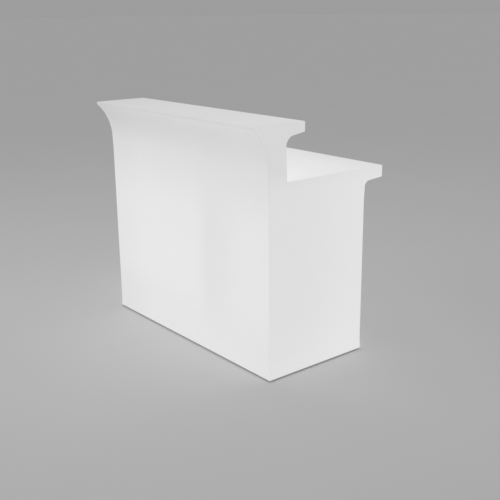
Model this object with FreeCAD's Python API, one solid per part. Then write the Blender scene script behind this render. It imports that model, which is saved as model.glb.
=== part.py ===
import FreeCAD
import Part
import math
import os
from FreeCAD import Vector

# An illuminated bar counter, in millimetres. X runs along the counter, Y from the customer's side to the
# bartender's side and Z up. The origin is on the floor, under the middle of the whole counter. Depths that
# are called "from the customer's face" start at the flat front of the shell.

# Overall sizes of the shell
counter_length = 1240.0
body_depth = 560.0
worktop_overhang = 110.0
bar_rise = 240.0
bar_top_depth = 196.0
nose_reach = 77.0
floor_gap = 5.0
wall = 6.0

# Form of the shell's end view
nose_thickness = 12.0
flare_turn = math.radians(48)
flare_land = 0.4
bar_lip_height = 44.0
bar_lip_slope = math.radians(8)
riser_foot_depth = 101.0
riser_lean = math.radians(2.8)
riser_top_round = 46.0
riser_foot_round = 4.0
worktop_lip_height = 54.0
worktop_lip_slope = math.radians(4)
worktop_lip_round = 8.0
worktop_under_round = 28.0
edge_round = 5.9
end_round = 5.5

# Bay on the bartender's side, which carries the worktop
bay_from_end = 100.0
bay_floor_height = 110.0
bay_height = 580.0
bay_from_worktop = 175.0
bay_depth = 320.0
bay_round = 30.0
bay_mouth_round = 3.0

# Fits
running_clearance = 0.05
loose_clearance = 0.3
hole_clearance = 0.25
overrun = 20.0

# Levelling feet
foot_from_end = 90.0
foot_from_face = 70.0
foot_recess = 7.0
pad_radius = 28.0
pad_edge_round = 1.5
pad_clearance = 2.0
stud_radius = 5.0
stud_reach = 36.0
stud_head_height = 5.0
stud_head_flats = 17.0
stud_head_rise = 4.0
foot_insert_radius = 8.0
foot_insert_length = 25.0
foot_insert_depth = 1.0
foot_boss_wall = 9.0
stud_bore_clearance = 1.0
stud_end_clearance = 4.0

# Hatch in the bay's back wall, with the light kit on it
hatch_from_side = 90.0
hatch_rise = 60.0
hatch_drop = 120.0
hatch_opening_round = 12.0
hatch_overlap = 30.0
hatch_thickness = 3.0
gasket_thickness = 2.0
hatch_screw_radius = 2.5
hatch_screw_columns = 4
hatch_screw_rows = 3
insert_radius = 4.0
hatch_insert_length = 12.0
boss_wall = 5.0
boss_floor = 4.0

# LED channels
channel_names = ("lower", "middle", "upper")
channel_end_gap = 50.0
channel_rise = 150.0
channel_drop = 50.0
channel_width = 24.0
channel_height = 12.0
channel_wall = 1.5
end_cap_thickness = 3.0
clip_thickness = 1.2
clip_length = 18.0
clip_ear = 12.0
clip_from_end = 47.0
clip_count = 3
kit_screw_radius = 2.0
kit_screw_tail = 1.8
board_side_gap = 1.5
board_end_gap = 4.0
board_thickness = 1.6
led_size = 5.0
led_height = 1.5
led_count = 30
diffuser_wall = 1.2
diffuser_height = 6.0

# LED power supply
driver_from_side = 80.0
driver_length = 200.0
driver_width = 50.0
driver_height = 34.0
driver_round = 3.0
driver_wall = 4.0
driver_cap_thickness = 5.0
driver_ear_length = 14.0
driver_ear_thickness = 4.0
driver_groove_count = 6
driver_groove_width = 3.0
driver_groove_depth = 2.0
driver_board_thickness = 1.6
gland_length = 10.0
gland_wall = 2.0

# Components on the power supply's board: places and sizes as shares of the room inside the case
transformer_place_share = 0.6
transformer_shares = (0.18, 0.75, 0.66)
capacitor_place_shares = (0.17, 0.27, 0.82)
capacitor_radius_share = 0.17
capacitor_height_share = 0.6

# Mains inlet with its switch and fuse
inlet_from_side = 70.0
inlet_rise = 55.0
inlet_rim = 4.5
inlet_rib = 5.8
inlet_side_wall = 1.5
inlet_body_depth = 32.0
inlet_ear = 12.6
inlet_flange_overlap = 4.0
inlet_flange_thickness = 3.0
inlet_flange_round = 5.0
inlet_screw_radius = 1.75
socket_width = 24.4
socket_height = 16.4
socket_depth = 16.0
socket_chamfer = 4.0
pin_width = 2.0
pin_height = 4.0
pin_setback = 4.0
pin_spacing = 14.0
earth_pin_rise = 4.0
pin_tail = 8.0
drawer_width = 22.0
drawer_height = 9.0
drawer_depth = 26.0
drawer_lip = 2.0
drawer_lip_overlap = 1.5
fuse_radius = 2.5
fuse_length = 20.0
fuse_end_length = 5.0
rocker_width = 13.0
rocker_length = 18.0
rocker_tilt = math.radians(10)
rocker_crown = 1.2
rocker_belly = 5.0
rocker_pivot_depth = 3.0
rocker_pin_radius = 1.2
rocker_pin_reach = 1.5
rocker_well_clearance = 2.0
boot_wall = 1.5
boot_overlap = 14.0
boot_space = 14.0
boot_outlet_wall = 2.0
boot_outlet_reach = 12.0

# Leads inside the light cavity
mains_lead_radius = 3.0
led_lead_radius = 2.0
mains_lead_rise = 1.0
lead_sag = 12.0
lead_first_run = 40.0
lead_shift_run = 50.0
lead_tail = 4.0
lead_bend_share = 0.45
loop_from_edge = 9.0
loop_slant = 21.0
saddle_width = 12.0
saddle_foot = 12.0
saddle_wall = 2.5

# Shelf in the bay
shelf_rise = 290.0
shelf_thickness = 19.0
shelf_side_gap = 2.0
shelf_back_gap = 6.25
shelf_setback = 15.0
edge_band_thickness = 2.0
rail_leg = 25.0
rail_thickness = 3.0
rail_setback = 3.0
rail_screw_radius = 2.5
rail_screw_inset = 30.0
rail_screw_count = 3
rail_insert_length = 10.0

# Vent plug in the plinth under the bay
vent_from_end = 140.0
vent_radius = 12.5
vent_flange_overlap = 4.5
vent_flange_thickness = 2.5
vent_plug_length = 14.0
vent_plug_wall = 2.0

# Sizes of heads and nuts, as shares of their screw's radius
head_radius_share = 1.9
head_height_share = 1.1
sink_depth_share = 0.9
socket_radius_share = 0.8
socket_depth_share = 0.6
nut_radius_share = 1.75
nut_height_share = 1.6

# Places that several pieces share
bay_roof_height = bay_floor_height + bay_height
worktop_height = bay_roof_height + bay_from_worktop
counter_height = worktop_height + bar_rise
worktop_depth = body_depth + worktop_overhang
half_length = counter_length / 2
front_y = (nose_reach - worktop_depth) / 2
back_y = front_y + body_depth
bay_back_y = back_y - bay_depth
half_bay = half_length - bay_from_end
shelf_height = bay_floor_height + shelf_rise
hatch_inner_y = bay_back_y + gasket_thickness
hatch_outer_y = hatch_inner_y + hatch_thickness
half_opening = half_bay - hatch_from_side - hatch_overlap
opening_floor = bay_floor_height + hatch_rise
opening_roof = bay_roof_height - hatch_drop
channel_length = 2 * (half_opening - channel_end_gap - end_cap_thickness)
channel_base_y = hatch_inner_y - clip_thickness
led_lead_y = channel_base_y - channel_height / 2
mains_lead_y = hatch_inner_y - driver_ear_thickness - mains_lead_radius - mains_lead_rise
driver_limits = (driver_from_side - half_opening,
                 driver_from_side - half_opening + driver_length + 2 * driver_cap_thickness)
inlet_x = half_opening - inlet_from_side
inlet_z = opening_floor + inlet_rise
inlet_face_y = hatch_outer_y + inlet_flange_thickness
inlet_back_y = hatch_outer_y - inlet_body_depth
x_axis = Vector(1, 0, 0)
y_axis = Vector(0, 1, 0)
z_axis = Vector(0, 0, 1)


def block(x, y, z):
    """Box between pairs of limits."""
    return Part.makeBox(x[1] - x[0], y[1] - y[0], z[1] - z[0], Vector(x[0], y[0], z[0]))


def about(middle, size):
    """Pair of limits of a size about its middle."""
    return (middle - size / 2, middle + size / 2)


def rod(radius, start, end):
    """Round bar between two points."""
    return Part.makeCylinder(radius, (end - start).Length, start, end - start)


def fuse_all(shapes):
    """One solid from several that meet."""
    first, rest = shapes[0], shapes[1:]
    return first.fuse(rest).removeSplitter() if rest else first


def edges_along(shape, axis):
    """Straight edges that run along an axis."""
    found = []
    for edge in shape.Edges:
        run = edge.Vertexes[-1].Point - edge.Vertexes[0].Point
        if run.Length and abs(abs(run.dot(axis)) - run.Length) < run.Length / 1e6:
            found.append(edge)
    return found


def rounded_block(x, y, z, axis, radius):
    """Box with its four edges along one axis rounded."""
    shape = block(x, y, z)
    return shape.makeFillet(radius, edges_along(shape, axis))


def hexagon(centre, axis, flats, height):
    """Hexagonal bar of a width across its flats, standing on its centre along a row axis."""
    side = y_axis if abs(axis.dot(z_axis)) > 0.5 else z_axis
    other = axis.cross(side)
    points = []
    for turn in range(7):
        angle = math.pi / 3 * turn
        corner = side * math.cos(angle) + other * math.sin(angle)
        points.append(centre + corner * (flats / math.sqrt(3)))
    return Part.Face(Part.makePolygon(points)).extrude(axis * height)


def outline(corners, x):
    """Closed wire in an upright plane across the counter, with a tangent arc at each corner (y, z, r)."""
    stops = []
    for place, (y, z, radius) in enumerate(corners):
        here = Vector(x, y, z)
        before = corners[place - 1]
        after = corners[(place + 1) % len(corners)]
        back = (Vector(x, before[0], before[1]) - here).normalize()
        ahead = (Vector(x, after[0], after[1]) - here).normalize()
        half = back.getAngle(ahead) / 2
        reach = radius / math.tan(half)
        depth = radius / math.sin(half) - radius
        inward = (back + ahead).normalize()
        stops.append((here + back * reach, here + inward * depth, here + ahead * reach))
    edges = []
    for place, (enter, middle, leave) in enumerate(stops):
        edges.append(Part.Arc(enter, middle, leave).toShape())
        edges.append(Part.LineSegment(leave, stops[(place + 1) % len(stops)][0]).toShape())
    return Part.Wire(edges)


def pan_screw(seat, out, radius, length):
    """Screw with a low round head and a hexagonal socket. Its head stands out of the seat."""
    head_height = radius * head_height_share
    head = Part.makeCylinder(radius * head_radius_share, head_height, seat, out)
    shank = Part.makeCylinder(radius, length, seat, out * -1)
    socket_floor = seat + out * (head_height - radius * socket_depth_share)
    socket = hexagon(socket_floor, out, 2 * radius * socket_radius_share, head_height)
    return head.fuse(shank).removeSplitter().cut(socket)


def flat_screw(seat, out, radius, length):
    """Countersunk screw whose flat head is flush with the seat."""
    head_radius = radius * head_radius_share
    sink = radius * sink_depth_share
    head = Part.makeCone(head_radius, radius, sink, seat, out * -1)
    shank = Part.makeCylinder(radius, length - sink, seat - out * sink, out * -1)
    socket_floor = seat - out * (radius * socket_depth_share)
    socket = hexagon(socket_floor, out, 2 * radius * socket_radius_share, radius)
    return head.fuse(shank).removeSplitter().cut(socket)


def flat_screw_hole(seat, out, radius, length):
    """Hole with a countersink for such a screw."""
    head_radius = radius * head_radius_share + hole_clearance
    sink = radius * sink_depth_share
    bore = radius + hole_clearance
    cone = Part.makeCone(head_radius, bore, sink, seat, out * -1)
    return cone.fuse(Part.makeCylinder(bore, length, seat, out * -1))


def nut(seat, out, radius):
    """Hexagonal nut on a screw, standing out of its seat."""
    height = radius * nut_height_share
    body = hexagon(seat, out, 2 * radius * nut_radius_share, height)
    return body.cut(Part.makeCylinder(radius + running_clearance, height, seat, out))


def insert(seat, inward, outer_radius, length, screw_radius):
    """Threaded brass insert whose mouth is at the seat."""
    body = Part.makeCylinder(outer_radius, length, seat, inward)
    return body.cut(Part.makeCylinder(screw_radius + running_clearance, length, seat, inward))


def lead(points, radius, label):
    """Round lead along straight runs joined by tangent arcs, each as large as its two runs allow."""
    edges = []
    radii = []
    start = points[0]
    total = 0.0
    for place in range(1, len(points) - 1):
        here = points[place]
        back = points[place - 1] - here
        ahead = points[place + 1] - here
        shorter = min(back.Length, ahead.Length)
        back.normalize()
        ahead.normalize()
        half_turn = (math.pi - back.getAngle(ahead)) / 2
        reach = shorter * lead_bend_share
        bend = reach / math.tan(half_turn)
        middle = here + (back + ahead).normalize() * (bend / math.cos(half_turn) - bend)
        enter = here + back * reach
        leave = here + ahead * reach
        edges.append(Part.LineSegment(start, enter).toShape())
        edges.append(Part.Arc(enter, middle, leave).toShape())
        radii.append(bend)
        total += (enter - start).Length + 2 * half_turn * bend
        start = leave
    edges.append(Part.LineSegment(start, points[-1]).toShape())
    total += (points[-1] - start).Length
    path = Part.Wire(edges)
    circle = Part.Wire(Part.Circle(points[0], points[1] - points[0], radius).toShape())
    shape = path.makePipeShell([circle], True, False)
    expected = math.pi * radius ** 2 * total
    print(label, "radii", [round(bend, 1) for bend in radii], "length", round(total, 1),
          "volume against section times length", round(shape.Volume / expected, 4))
    return shape


def end_view():
    """Corners of the shell's end view, from the customer's foot up round the nose and back to the floor."""
    nose_foot = counter_height - nose_thickness
    flare_corner = nose_foot - nose_reach / math.tan(flare_turn)
    half_turn = math.tan(flare_turn / 2)
    flare_radius = (nose_reach / math.sin(flare_turn) - edge_round * half_turn - flare_land) / half_turn
    bar_lip_foot = counter_height - bar_lip_height
    lean = math.tan(riser_lean)
    slope = math.tan(bar_lip_slope)
    riser_reach = bar_top_depth - riser_foot_depth - lean * worktop_height
    riser_top = (bar_lip_foot - slope * riser_reach) / (1 + lean * slope)
    riser_top_depth = riser_foot_depth - lean * (riser_top - worktop_height)
    worktop_lip_foot = worktop_height - worktop_lip_height
    under_worktop = worktop_lip_foot - worktop_overhang * math.tan(worktop_lip_slope)
    corners = (
        (0, floor_gap, edge_round),
        (0, flare_corner, flare_radius),
        (-nose_reach, nose_foot, edge_round),
        (-nose_reach, counter_height, edge_round),
        (bar_top_depth, counter_height, edge_round),
        (bar_top_depth, bar_lip_foot, edge_round),
        (riser_top_depth, riser_top, riser_top_round),
        (riser_foot_depth, worktop_height, riser_foot_round),
        (worktop_depth, worktop_height, edge_round),
        (worktop_depth, worktop_lip_foot, worktop_lip_round),
        (body_depth, under_worktop, worktop_under_round),
        (body_depth, floor_gap, edge_round),
    )
    return [(front_y + depth, height, radius) for depth, height, radius in corners]


def foot_places():
    """Plan places of the four feet, by name."""
    places = {}
    for side, x in (("left", -half_length + foot_from_end), ("right", half_length - foot_from_end)):
        places["front_" + side] = Vector(x, front_y + foot_from_face, 0)
        places["rear_" + side] = Vector(x, back_y - foot_from_face, 0)
    return places


def spread(low, high, count):
    """Evenly spaced places from one limit to the other."""
    return [low + (high - low) * step / (count - 1) for step in range(count)]


def hatch_screw_places():
    """Places of the hatch's screws, round its edge, on the plane of the bay's back wall."""
    half_width = half_opening + hatch_overlap / 2
    low = opening_floor - hatch_overlap / 2
    high = opening_roof + hatch_overlap / 2
    places = [Vector(x, bay_back_y, z) for x in spread(-half_width, half_width, hatch_screw_columns)
              for z in (low, high)]
    return places + [Vector(x, bay_back_y, z) for z in spread(low, high, hatch_screw_rows)[1:-1]
                     for x in (-half_width, half_width)]


def rail_screw_places(side):
    """Places of a rail's screws on one side wall of the bay: side is -1 on the left and 1 on the right."""
    low, high = rail_limits()
    z = shelf_height - shelf_thickness - rail_thickness - (rail_leg - rail_thickness) / 2
    places = []
    for y in spread(low + rail_screw_inset, high - rail_screw_inset, rail_screw_count):
        places.append(Vector(side * half_bay, y, z))
    return places


def shelf_limits():
    """Depth limits of the shelf with its edge band, from just clear of the hatch's screws."""
    screw_head = hatch_screw_radius * head_height_share
    return (hatch_outer_y + screw_head + shelf_back_gap, back_y - shelf_setback)


def rail_limits():
    """Depth limits of a rail, which ends a little short of the shelf's edge."""
    low, high = shelf_limits()
    return (low, high - rail_setback)


def bay_space(margin):
    """The bay as a rounded block, a margin larger all round, open at the bartender's face."""
    return rounded_block(
        (-half_bay - margin, half_bay + margin), (bay_back_y - margin, back_y + overrun),
        (bay_floor_height - margin, bay_roof_height + margin), y_axis, bay_round + margin)


def hatch_opening(depth):
    """The opening that the hatch closes, over a pair of depth limits."""
    return rounded_block((-half_opening, half_opening), depth, (opening_floor, opening_roof),
                         y_axis, hatch_opening_round)


def foot_boss(place):
    """Solid post over a foot, with the wall of its recess."""
    cup_radius = pad_radius + pad_clearance + wall
    cup = Part.makeCylinder(cup_radius, foot_recess + wall, place + z_axis * floor_gap)
    post_height = stud_reach + stud_end_clearance + wall
    roof = place + z_axis * (floor_gap + foot_recess)
    return cup.fuse(Part.makeCylinder(foot_insert_radius + foot_boss_wall, post_height, roof))


def foot_hollow(place):
    """Recess, insert hole and stud bore of one foot, to be cut from the shell."""
    roof = place + z_axis * (floor_gap + foot_recess)
    recess = Part.makeCylinder(pad_radius + pad_clearance, floor_gap + foot_recess, place)
    hole_depth = foot_insert_depth + foot_insert_length
    hole = Part.makeCylinder(foot_insert_radius + running_clearance, hole_depth, roof)
    bore = Part.makeCylinder(stud_radius + stud_bore_clearance, stud_reach + stud_end_clearance, roof)
    return recess.fuse([hole, bore])


def body_shell():
    """The whole shell in one hollow moulding, with the bay's walls, its bosses and its openings."""
    end = Part.Face(outline(end_view(), -half_length))
    outer = end.extrude(x_axis * counter_length)
    rims = [edge for edge in outer.Edges if edge.BoundBox.XLength < wall / 2]
    outer = outer.makeFillet(end_round, rims).Solids[0]
    lining = end.makeOffset2D(-wall)
    lining.translate(x_axis * wall)
    cavity = lining.extrude(x_axis * (counter_length - 2 * wall))
    additions = [bay_space(wall).common(outer)]
    openings = [bay_space(0)]
    for place in foot_places().values():
        additions.append(foot_boss(place))
        openings.append(foot_hollow(place))
    seats = [(place, y_axis * -1, hatch_insert_length) for place in hatch_screw_places()]
    for side in (-1, 1):
        seats += [(place, x_axis * side, rail_insert_length) for place in rail_screw_places(side)]
    for place, inward, length in seats:
        additions.append(Part.makeCylinder(insert_radius + boss_wall, length + boss_floor, place, inward))
        openings.append(Part.makeCylinder(insert_radius + running_clearance, length, place, inward))
    openings.append(hatch_opening((bay_back_y - wall - overrun, bay_back_y + overrun)))
    openings.append(rod(vent_radius, vent_centre() - y_axis * overrun, vent_centre() + y_axis * overrun))
    shell = outer.cut(cavity).fuse(additions).cut(openings).removeSplitter()
    return round_bay_mouth(shell.Solids[0])


def round_bay_mouth(shell):
    """Ease the edge where the bay opens on the bartender's face."""
    mouth = []
    for edge in shell.Edges:
        box = edge.BoundBox
        in_face = abs(box.YMin - back_y) < running_clearance and abs(box.YMax - back_y) < running_clearance
        in_width = max(abs(box.XMin), abs(box.XMax)) < half_bay + wall / 2
        above_floor = box.ZMin > bay_floor_height - wall / 2
        if in_face and in_width and above_floor and box.ZMax < bay_roof_height + wall / 2:
            mouth.append(edge)
    return shell.makeFillet(bay_mouth_round, mouth).Solids[0]


def vent_centre():
    """Middle of the vent hole on the bartender's face, half way up the plinth."""
    return Vector(vent_from_end - half_length, back_y, (floor_gap + bay_floor_height) / 2)


def vent_plug():
    """Push-in plug: a flange on the face and a thin sleeve through the hole."""
    centre = vent_centre()
    flange = Part.makeCylinder(vent_radius + vent_flange_overlap, vent_flange_thickness, centre, y_axis)
    sleeve = Part.makeCylinder(vent_radius - loose_clearance, vent_plug_length, centre, y_axis * -1)
    hollow = Part.makeCylinder(vent_radius - vent_plug_wall, vent_plug_length, centre, y_axis * -1)
    return flange.fuse(sleeve).removeSplitter().cut(hollow)


def foot_pad(place):
    """Round pad with a hexagonal seat for the stud's head moulded into it."""
    height = floor_gap + foot_recess
    pad = Part.makeCylinder(pad_radius, height, place)
    rim = [edge for edge in pad.Edges if edge.BoundBox.ZMax < running_clearance]
    pad = pad.makeFillet(pad_edge_round, rim)
    seat = place + z_axis * stud_head_rise
    head = hexagon(seat, z_axis, stud_head_flats, stud_head_height)
    return pad.cut([head, Part.makeCylinder(stud_radius + hole_clearance, height, seat)])


def foot_stud(place):
    """Levelling screw, with its head in the pad."""
    start = place + z_axis * stud_head_rise
    head = hexagon(start, z_axis, stud_head_flats, stud_head_height)
    length = floor_gap + foot_recess + stud_reach - stud_head_rise
    return head.fuse(Part.makeCylinder(stud_radius, length, start)).removeSplitter()


def foot_inserts():
    """Brass inserts in the shell, one over each foot."""
    seat = z_axis * (floor_gap + foot_recess + foot_insert_depth)
    return [insert(place + seat, z_axis, foot_insert_radius, foot_insert_length, stud_radius)
            for place in foot_places().values()]


def hatch_limits():
    """Width and height limits of the hatch."""
    return ((-half_opening - hatch_overlap, half_opening + hatch_overlap),
            (opening_floor - hatch_overlap, opening_roof + hatch_overlap))


def hatch_gasket():
    """Flat ring between the bay's back wall and the hatch."""
    width, height = hatch_limits()
    ring = rounded_block(width, (bay_back_y, hatch_inner_y), height, y_axis, hatch_opening_round)
    gap = hatch_opening((bay_back_y - overrun, hatch_inner_y + overrun))
    holes = [Part.makeCylinder(hatch_screw_radius + hole_clearance, gasket_thickness, place, y_axis)
             for place in hatch_screw_places()]
    return ring.cut([gap] + holes)


def channel_heights():
    """Heights of the LED channels, spread over the hatch above the power supply."""
    return spread(opening_floor + channel_rise, opening_roof - channel_drop, len(channel_names))


def clip_places():
    """Middles of the channels' clips, on the hatch's inner face."""
    half = channel_length / 2 - clip_from_end
    return [Vector(x, hatch_inner_y, z) for z in channel_heights() for x in spread(-half, half, clip_count)]


def clip_screw_places():
    """Places of the clips' screws, each in its clip's ear under the channel."""
    drop = channel_width / 2 + clip_thickness + clip_ear / 2
    return [place - z_axis * drop for place in clip_places()]


def driver_screw_places():
    """Places of the power supply's screws, two in each ear."""
    low, high = driver_limits
    middle = driver_ear_length / 2
    return [Vector(x, hatch_inner_y, z)
            for x in (low - middle, high + middle) for z in about(inlet_z, driver_width / 2)]


def saddle_screw_place():
    """Place of the lead saddle's screw, in the saddle's foot."""
    drop = lead_sag + mains_lead_radius + saddle_wall + saddle_foot / 2
    return Vector(saddle_x(), hatch_inner_y, inlet_z - drop)


def kit_screw_seats():
    """Where each screw of the light kit leaves what it holds, on the cavity side of the hatch."""
    seats = [place - y_axis * clip_thickness for place in clip_screw_places()]
    seats += [place - y_axis * driver_ear_thickness for place in driver_screw_places()]
    return seats + [saddle_screw_place() - y_axis * saddle_wall]


def inlet_screw_places():
    """Places of the inlet's two screws, in the middle of its flange's ears."""
    return [Vector(x, inlet_face_y, inlet_z) for x in about(inlet_x, inlet_body_width() + inlet_ear)]


def on_hatch(place):
    """A place moved along Y onto the hatch's outer face."""
    return Vector(place.x, hatch_outer_y, place.z)


def light_hatch():
    """Sheet panel with its screw holes and the inlet's opening."""
    width, height = hatch_limits()
    panel = rounded_block(width, (hatch_inner_y, hatch_outer_y), height, y_axis, hatch_opening_round)
    tools = [block(about(inlet_x, inlet_body_width() + 2 * loose_clearance),
                   (hatch_inner_y - overrun, hatch_outer_y + overrun),
                   about(inlet_z, inlet_body_height() + 2 * loose_clearance))]
    for place in hatch_screw_places():
        tools.append(Part.makeCylinder(hatch_screw_radius + hole_clearance, overrun, place, y_axis))
    for place in inlet_screw_places():
        tools.append(rod(inlet_screw_radius + hole_clearance, place - y_axis * overrun, place))
    for place in kit_screw_seats():
        tools.append(flat_screw_hole(on_hatch(place), y_axis, kit_screw_radius, overrun))
    return panel.cut(tools)


def hatch_screws():
    """Screws round the hatch, into the shell's inserts."""
    length = hatch_thickness + gasket_thickness + hatch_insert_length - loose_clearance
    seat = y_axis * (gasket_thickness + hatch_thickness)
    return [pan_screw(place + seat, y_axis, hatch_screw_radius, length) for place in hatch_screw_places()]


def hatch_inserts():
    """Brass inserts behind the hatch's edge."""
    return [insert(place, y_axis * -1, insert_radius, hatch_insert_length, hatch_screw_radius)
            for place in hatch_screw_places()]


def kit_screws():
    """Countersunk screws that hold the light kit, all as long as the thickest part on the hatch needs."""
    nut_height = kit_screw_radius * nut_height_share
    length = hatch_thickness + driver_ear_thickness + nut_height + kit_screw_tail
    return [flat_screw(on_hatch(place), y_axis, kit_screw_radius, length) for place in kit_screw_seats()]


def kit_nuts():
    """Nuts on those screws, inside the cavity."""
    return [nut(place, y_axis * -1, kit_screw_radius) for place in kit_screw_seats()]


def kit_screw_bore(place):
    """Hole for one of those screws through a part on the hatch."""
    return rod(kit_screw_radius + hole_clearance, place - y_axis * overrun, place + y_axis * overrun)


def led_channel(z):
    """Aluminium channel, open towards the customer's side."""
    base = channel_base_y
    inner_width = channel_width - 2 * channel_wall
    length = about(0, channel_length)
    bar = block(length, (base - channel_height, base), about(z, channel_width))
    return bar.cut(block(length, (base - channel_height, base - channel_wall), about(z, inner_width)))


def led_board(z):
    """Circuit board with a row of LEDs, on the channel's floor."""
    back = channel_base_y - channel_wall
    front = back - board_thickness
    length = channel_length - 2 * board_end_gap
    width = channel_width - 2 * channel_wall - 2 * board_side_gap
    board = block(about(0, length), (front, back), about(z, width))
    outermost = length / 2 * (led_count - 1) / led_count
    leds = [block(about(x, led_size), (front - led_height, front), about(z, led_size))
            for x in spread(-outermost, outermost, led_count)]
    return board.fuse(leds).removeSplitter()


def led_diffuser(z):
    """Opal cover between the channel's edges."""
    front = channel_base_y - channel_height
    width = channel_width - 2 * channel_wall - 2 * loose_clearance
    cover = block(about(0, channel_length), (front, front + diffuser_height), about(z, width))
    hollow = block(about(0, channel_length), (front + diffuser_wall, front + diffuser_height),
                   about(z, width - 2 * diffuser_wall))
    return cover.cut(hollow)


def led_end_caps():
    """Caps on both ends of each channel, with a hole where a lead enters."""
    base = channel_base_y
    caps = []
    for z in channel_heights():
        for side in (-1, 1):
            low, high = sorted((side * channel_length / 2, side * (channel_length / 2 + end_cap_thickness)))
            cap = block((low, high), (base - channel_height, base), about(z, channel_width))
            ends = [Vector(x, led_lead_y, z) for x in (low, high)]
            caps.append(cap.cut(rod(led_lead_radius + hole_clearance, *ends)))
    return caps


def channel_clips():
    """Sheet clips that grip the channels: a base with a screwed ear, and a lipped leg on each side."""
    clips = []
    half = channel_width / 2
    tip_y = hatch_inner_y - clip_thickness - channel_height - clip_thickness
    for place, screw in zip(clip_places(), clip_screw_places()):
        width = about(place.x, clip_length)
        outer = half + clip_thickness
        base_height = (place.z - outer - clip_ear, place.z + outer)
        base = block(width, (channel_base_y, hatch_inner_y), base_height)
        lower_leg = block(width, (tip_y, hatch_inner_y), (place.z - outer, place.z - half))
        upper_leg = block(width, (tip_y, hatch_inner_y), (place.z + half, place.z + outer))
        lip_y = (tip_y, tip_y + clip_thickness)
        lower_lip = block(width, lip_y, (place.z - outer, place.z - half + channel_wall))
        upper_lip = block(width, lip_y, (place.z + half - channel_wall, place.z + outer))
        clip = fuse_all([base, lower_leg, upper_leg, lower_lip, upper_lip])
        clips.append(clip.cut(kit_screw_bore(screw)))
    return clips


def driver_case():
    """Extruded case of the power supply, with cooling grooves in its front."""
    low, high = driver_limits
    length = (low + driver_cap_thickness, high - driver_cap_thickness)
    depth = (hatch_inner_y - driver_height, hatch_inner_y)
    case = rounded_block(length, depth, about(inlet_z, driver_width), x_axis, driver_round)
    tools = [block(length, (depth[0] + driver_wall, depth[1] - driver_wall),
                   about(inlet_z, driver_width - 2 * driver_wall))]
    half_band = (driver_width - driver_groove_width) / 2 - driver_wall
    groove_depth = (depth[0], depth[0] + driver_groove_depth)
    for z in spread(inlet_z - half_band, inlet_z + half_band, driver_groove_count):
        tools.append(block(length, groove_depth, about(z, driver_groove_width)))
    return case.cut(tools)


def driver_board():
    """Circuit board inside the case, with its transformer and capacitors."""
    low, high = driver_limits
    back = hatch_inner_y - driver_wall
    front = back - driver_board_thickness
    width = driver_width - 2 * driver_wall - 2 * loose_clearance
    length = (low + driver_cap_thickness + loose_clearance, high - driver_cap_thickness - loose_clearance)
    board = block(length, (front, back), about(inlet_z, width))
    room = (length[1] - length[0], width, driver_height - 2 * driver_wall - driver_board_thickness)
    size = [share * side for share, side in zip(transformer_shares, room)]
    transformer_x = length[0] + room[0] * transformer_place_share
    parts = [block(about(transformer_x, size[0]), (front - size[2], front), about(inlet_z, size[1]))]
    for share in capacitor_place_shares:
        place = Vector(length[0] + room[0] * share, front, inlet_z)
        parts.append(Part.makeCylinder(room[1] * capacitor_radius_share, room[2] * capacitor_height_share,
                                       place, y_axis * -1))
    return board.fuse(parts).removeSplitter()


def driver_caps():
    """End caps of the power supply, each with a screwed ear and a lead gland."""
    low, high = driver_limits
    caps = []
    sides = ((-1, low, led_lead_radius, led_lead_y), (1, high, mains_lead_radius, mains_lead_y))
    for side, end, lead_radius, lead_y in sides:
        inner = end - side * driver_cap_thickness
        cover = rounded_block(sorted((inner, end)), (hatch_inner_y - driver_height, hatch_inner_y),
                              about(inlet_z, driver_width), x_axis, driver_round)
        ear = block(sorted((end, end + side * driver_ear_length)),
                    (hatch_inner_y - driver_ear_thickness, hatch_inner_y), about(inlet_z, driver_width))
        gland = rod(lead_radius + gland_wall, Vector(end, lead_y, inlet_z),
                    Vector(end + side * gland_length, lead_y, inlet_z))
        bore = rod(lead_radius + hole_clearance, Vector(inner, lead_y, inlet_z),
                   Vector(end + side * overrun, lead_y, inlet_z))
        screws = [kit_screw_bore(place) for place in driver_screw_places() if (place.x - end) * side > 0]
        caps.append(fuse_all([cover, ear, gland]).cut([bore] + screws))
    return caps


def inlet_body_width():
    """Width of the inlet's body, a wall wider than the socket on each side."""
    return socket_width + 2 * inlet_side_wall


def rocker_shoulder():
    """Height of the rocker's ends over its pivot: the pressed end lies flush with the flange."""
    return (rocker_pivot_depth + rocker_length / 2 * math.sin(rocker_tilt)) / math.cos(rocker_tilt)


def well_height():
    """Height of the rocker's well, which its ends clear when they swing."""
    reach = rocker_length / 2 * math.cos(rocker_tilt) + rocker_shoulder() * math.sin(rocker_tilt)
    return 2 * (reach + loose_clearance)


def inlet_body_height():
    """Height of the inlet's body: socket, drawer and rocker's well, with ribs between and rims outside."""
    return 2 * (inlet_rim + inlet_rib) + socket_height + drawer_height + well_height()


def socket_z():
    """Height of the socket's middle, at the bottom of the inlet."""
    return inlet_z - inlet_body_height() / 2 + inlet_rim + socket_height / 2


def drawer_z():
    """Height of the fuse drawer's middle, over the socket."""
    return socket_z() + socket_height / 2 + inlet_rib + drawer_height / 2


def rocker_pivot():
    """Middle of the rocker's pivot, over the drawer and a little behind the flange's face."""
    z = drawer_z() + drawer_height / 2 + inlet_rib + well_height() / 2
    return Vector(inlet_x, inlet_face_y - rocker_pivot_depth, z)


def socket_space():
    """Recess that takes a mains connector: a rectangle with its two upper corners cut off."""
    half = socket_width / 2
    low, high = about(socket_z(), socket_height)
    corners = ((-half, low), (half, low), (half, high - socket_chamfer), (half - socket_chamfer, high),
               (socket_chamfer - half, high), (-half, high - socket_chamfer), (-half, low))
    floor_y = inlet_face_y - socket_depth
    points = [Vector(inlet_x + x, floor_y, z) for x, z in corners]
    return Part.Face(Part.makePolygon(points)).extrude(y_axis * (socket_depth + overrun))


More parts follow.
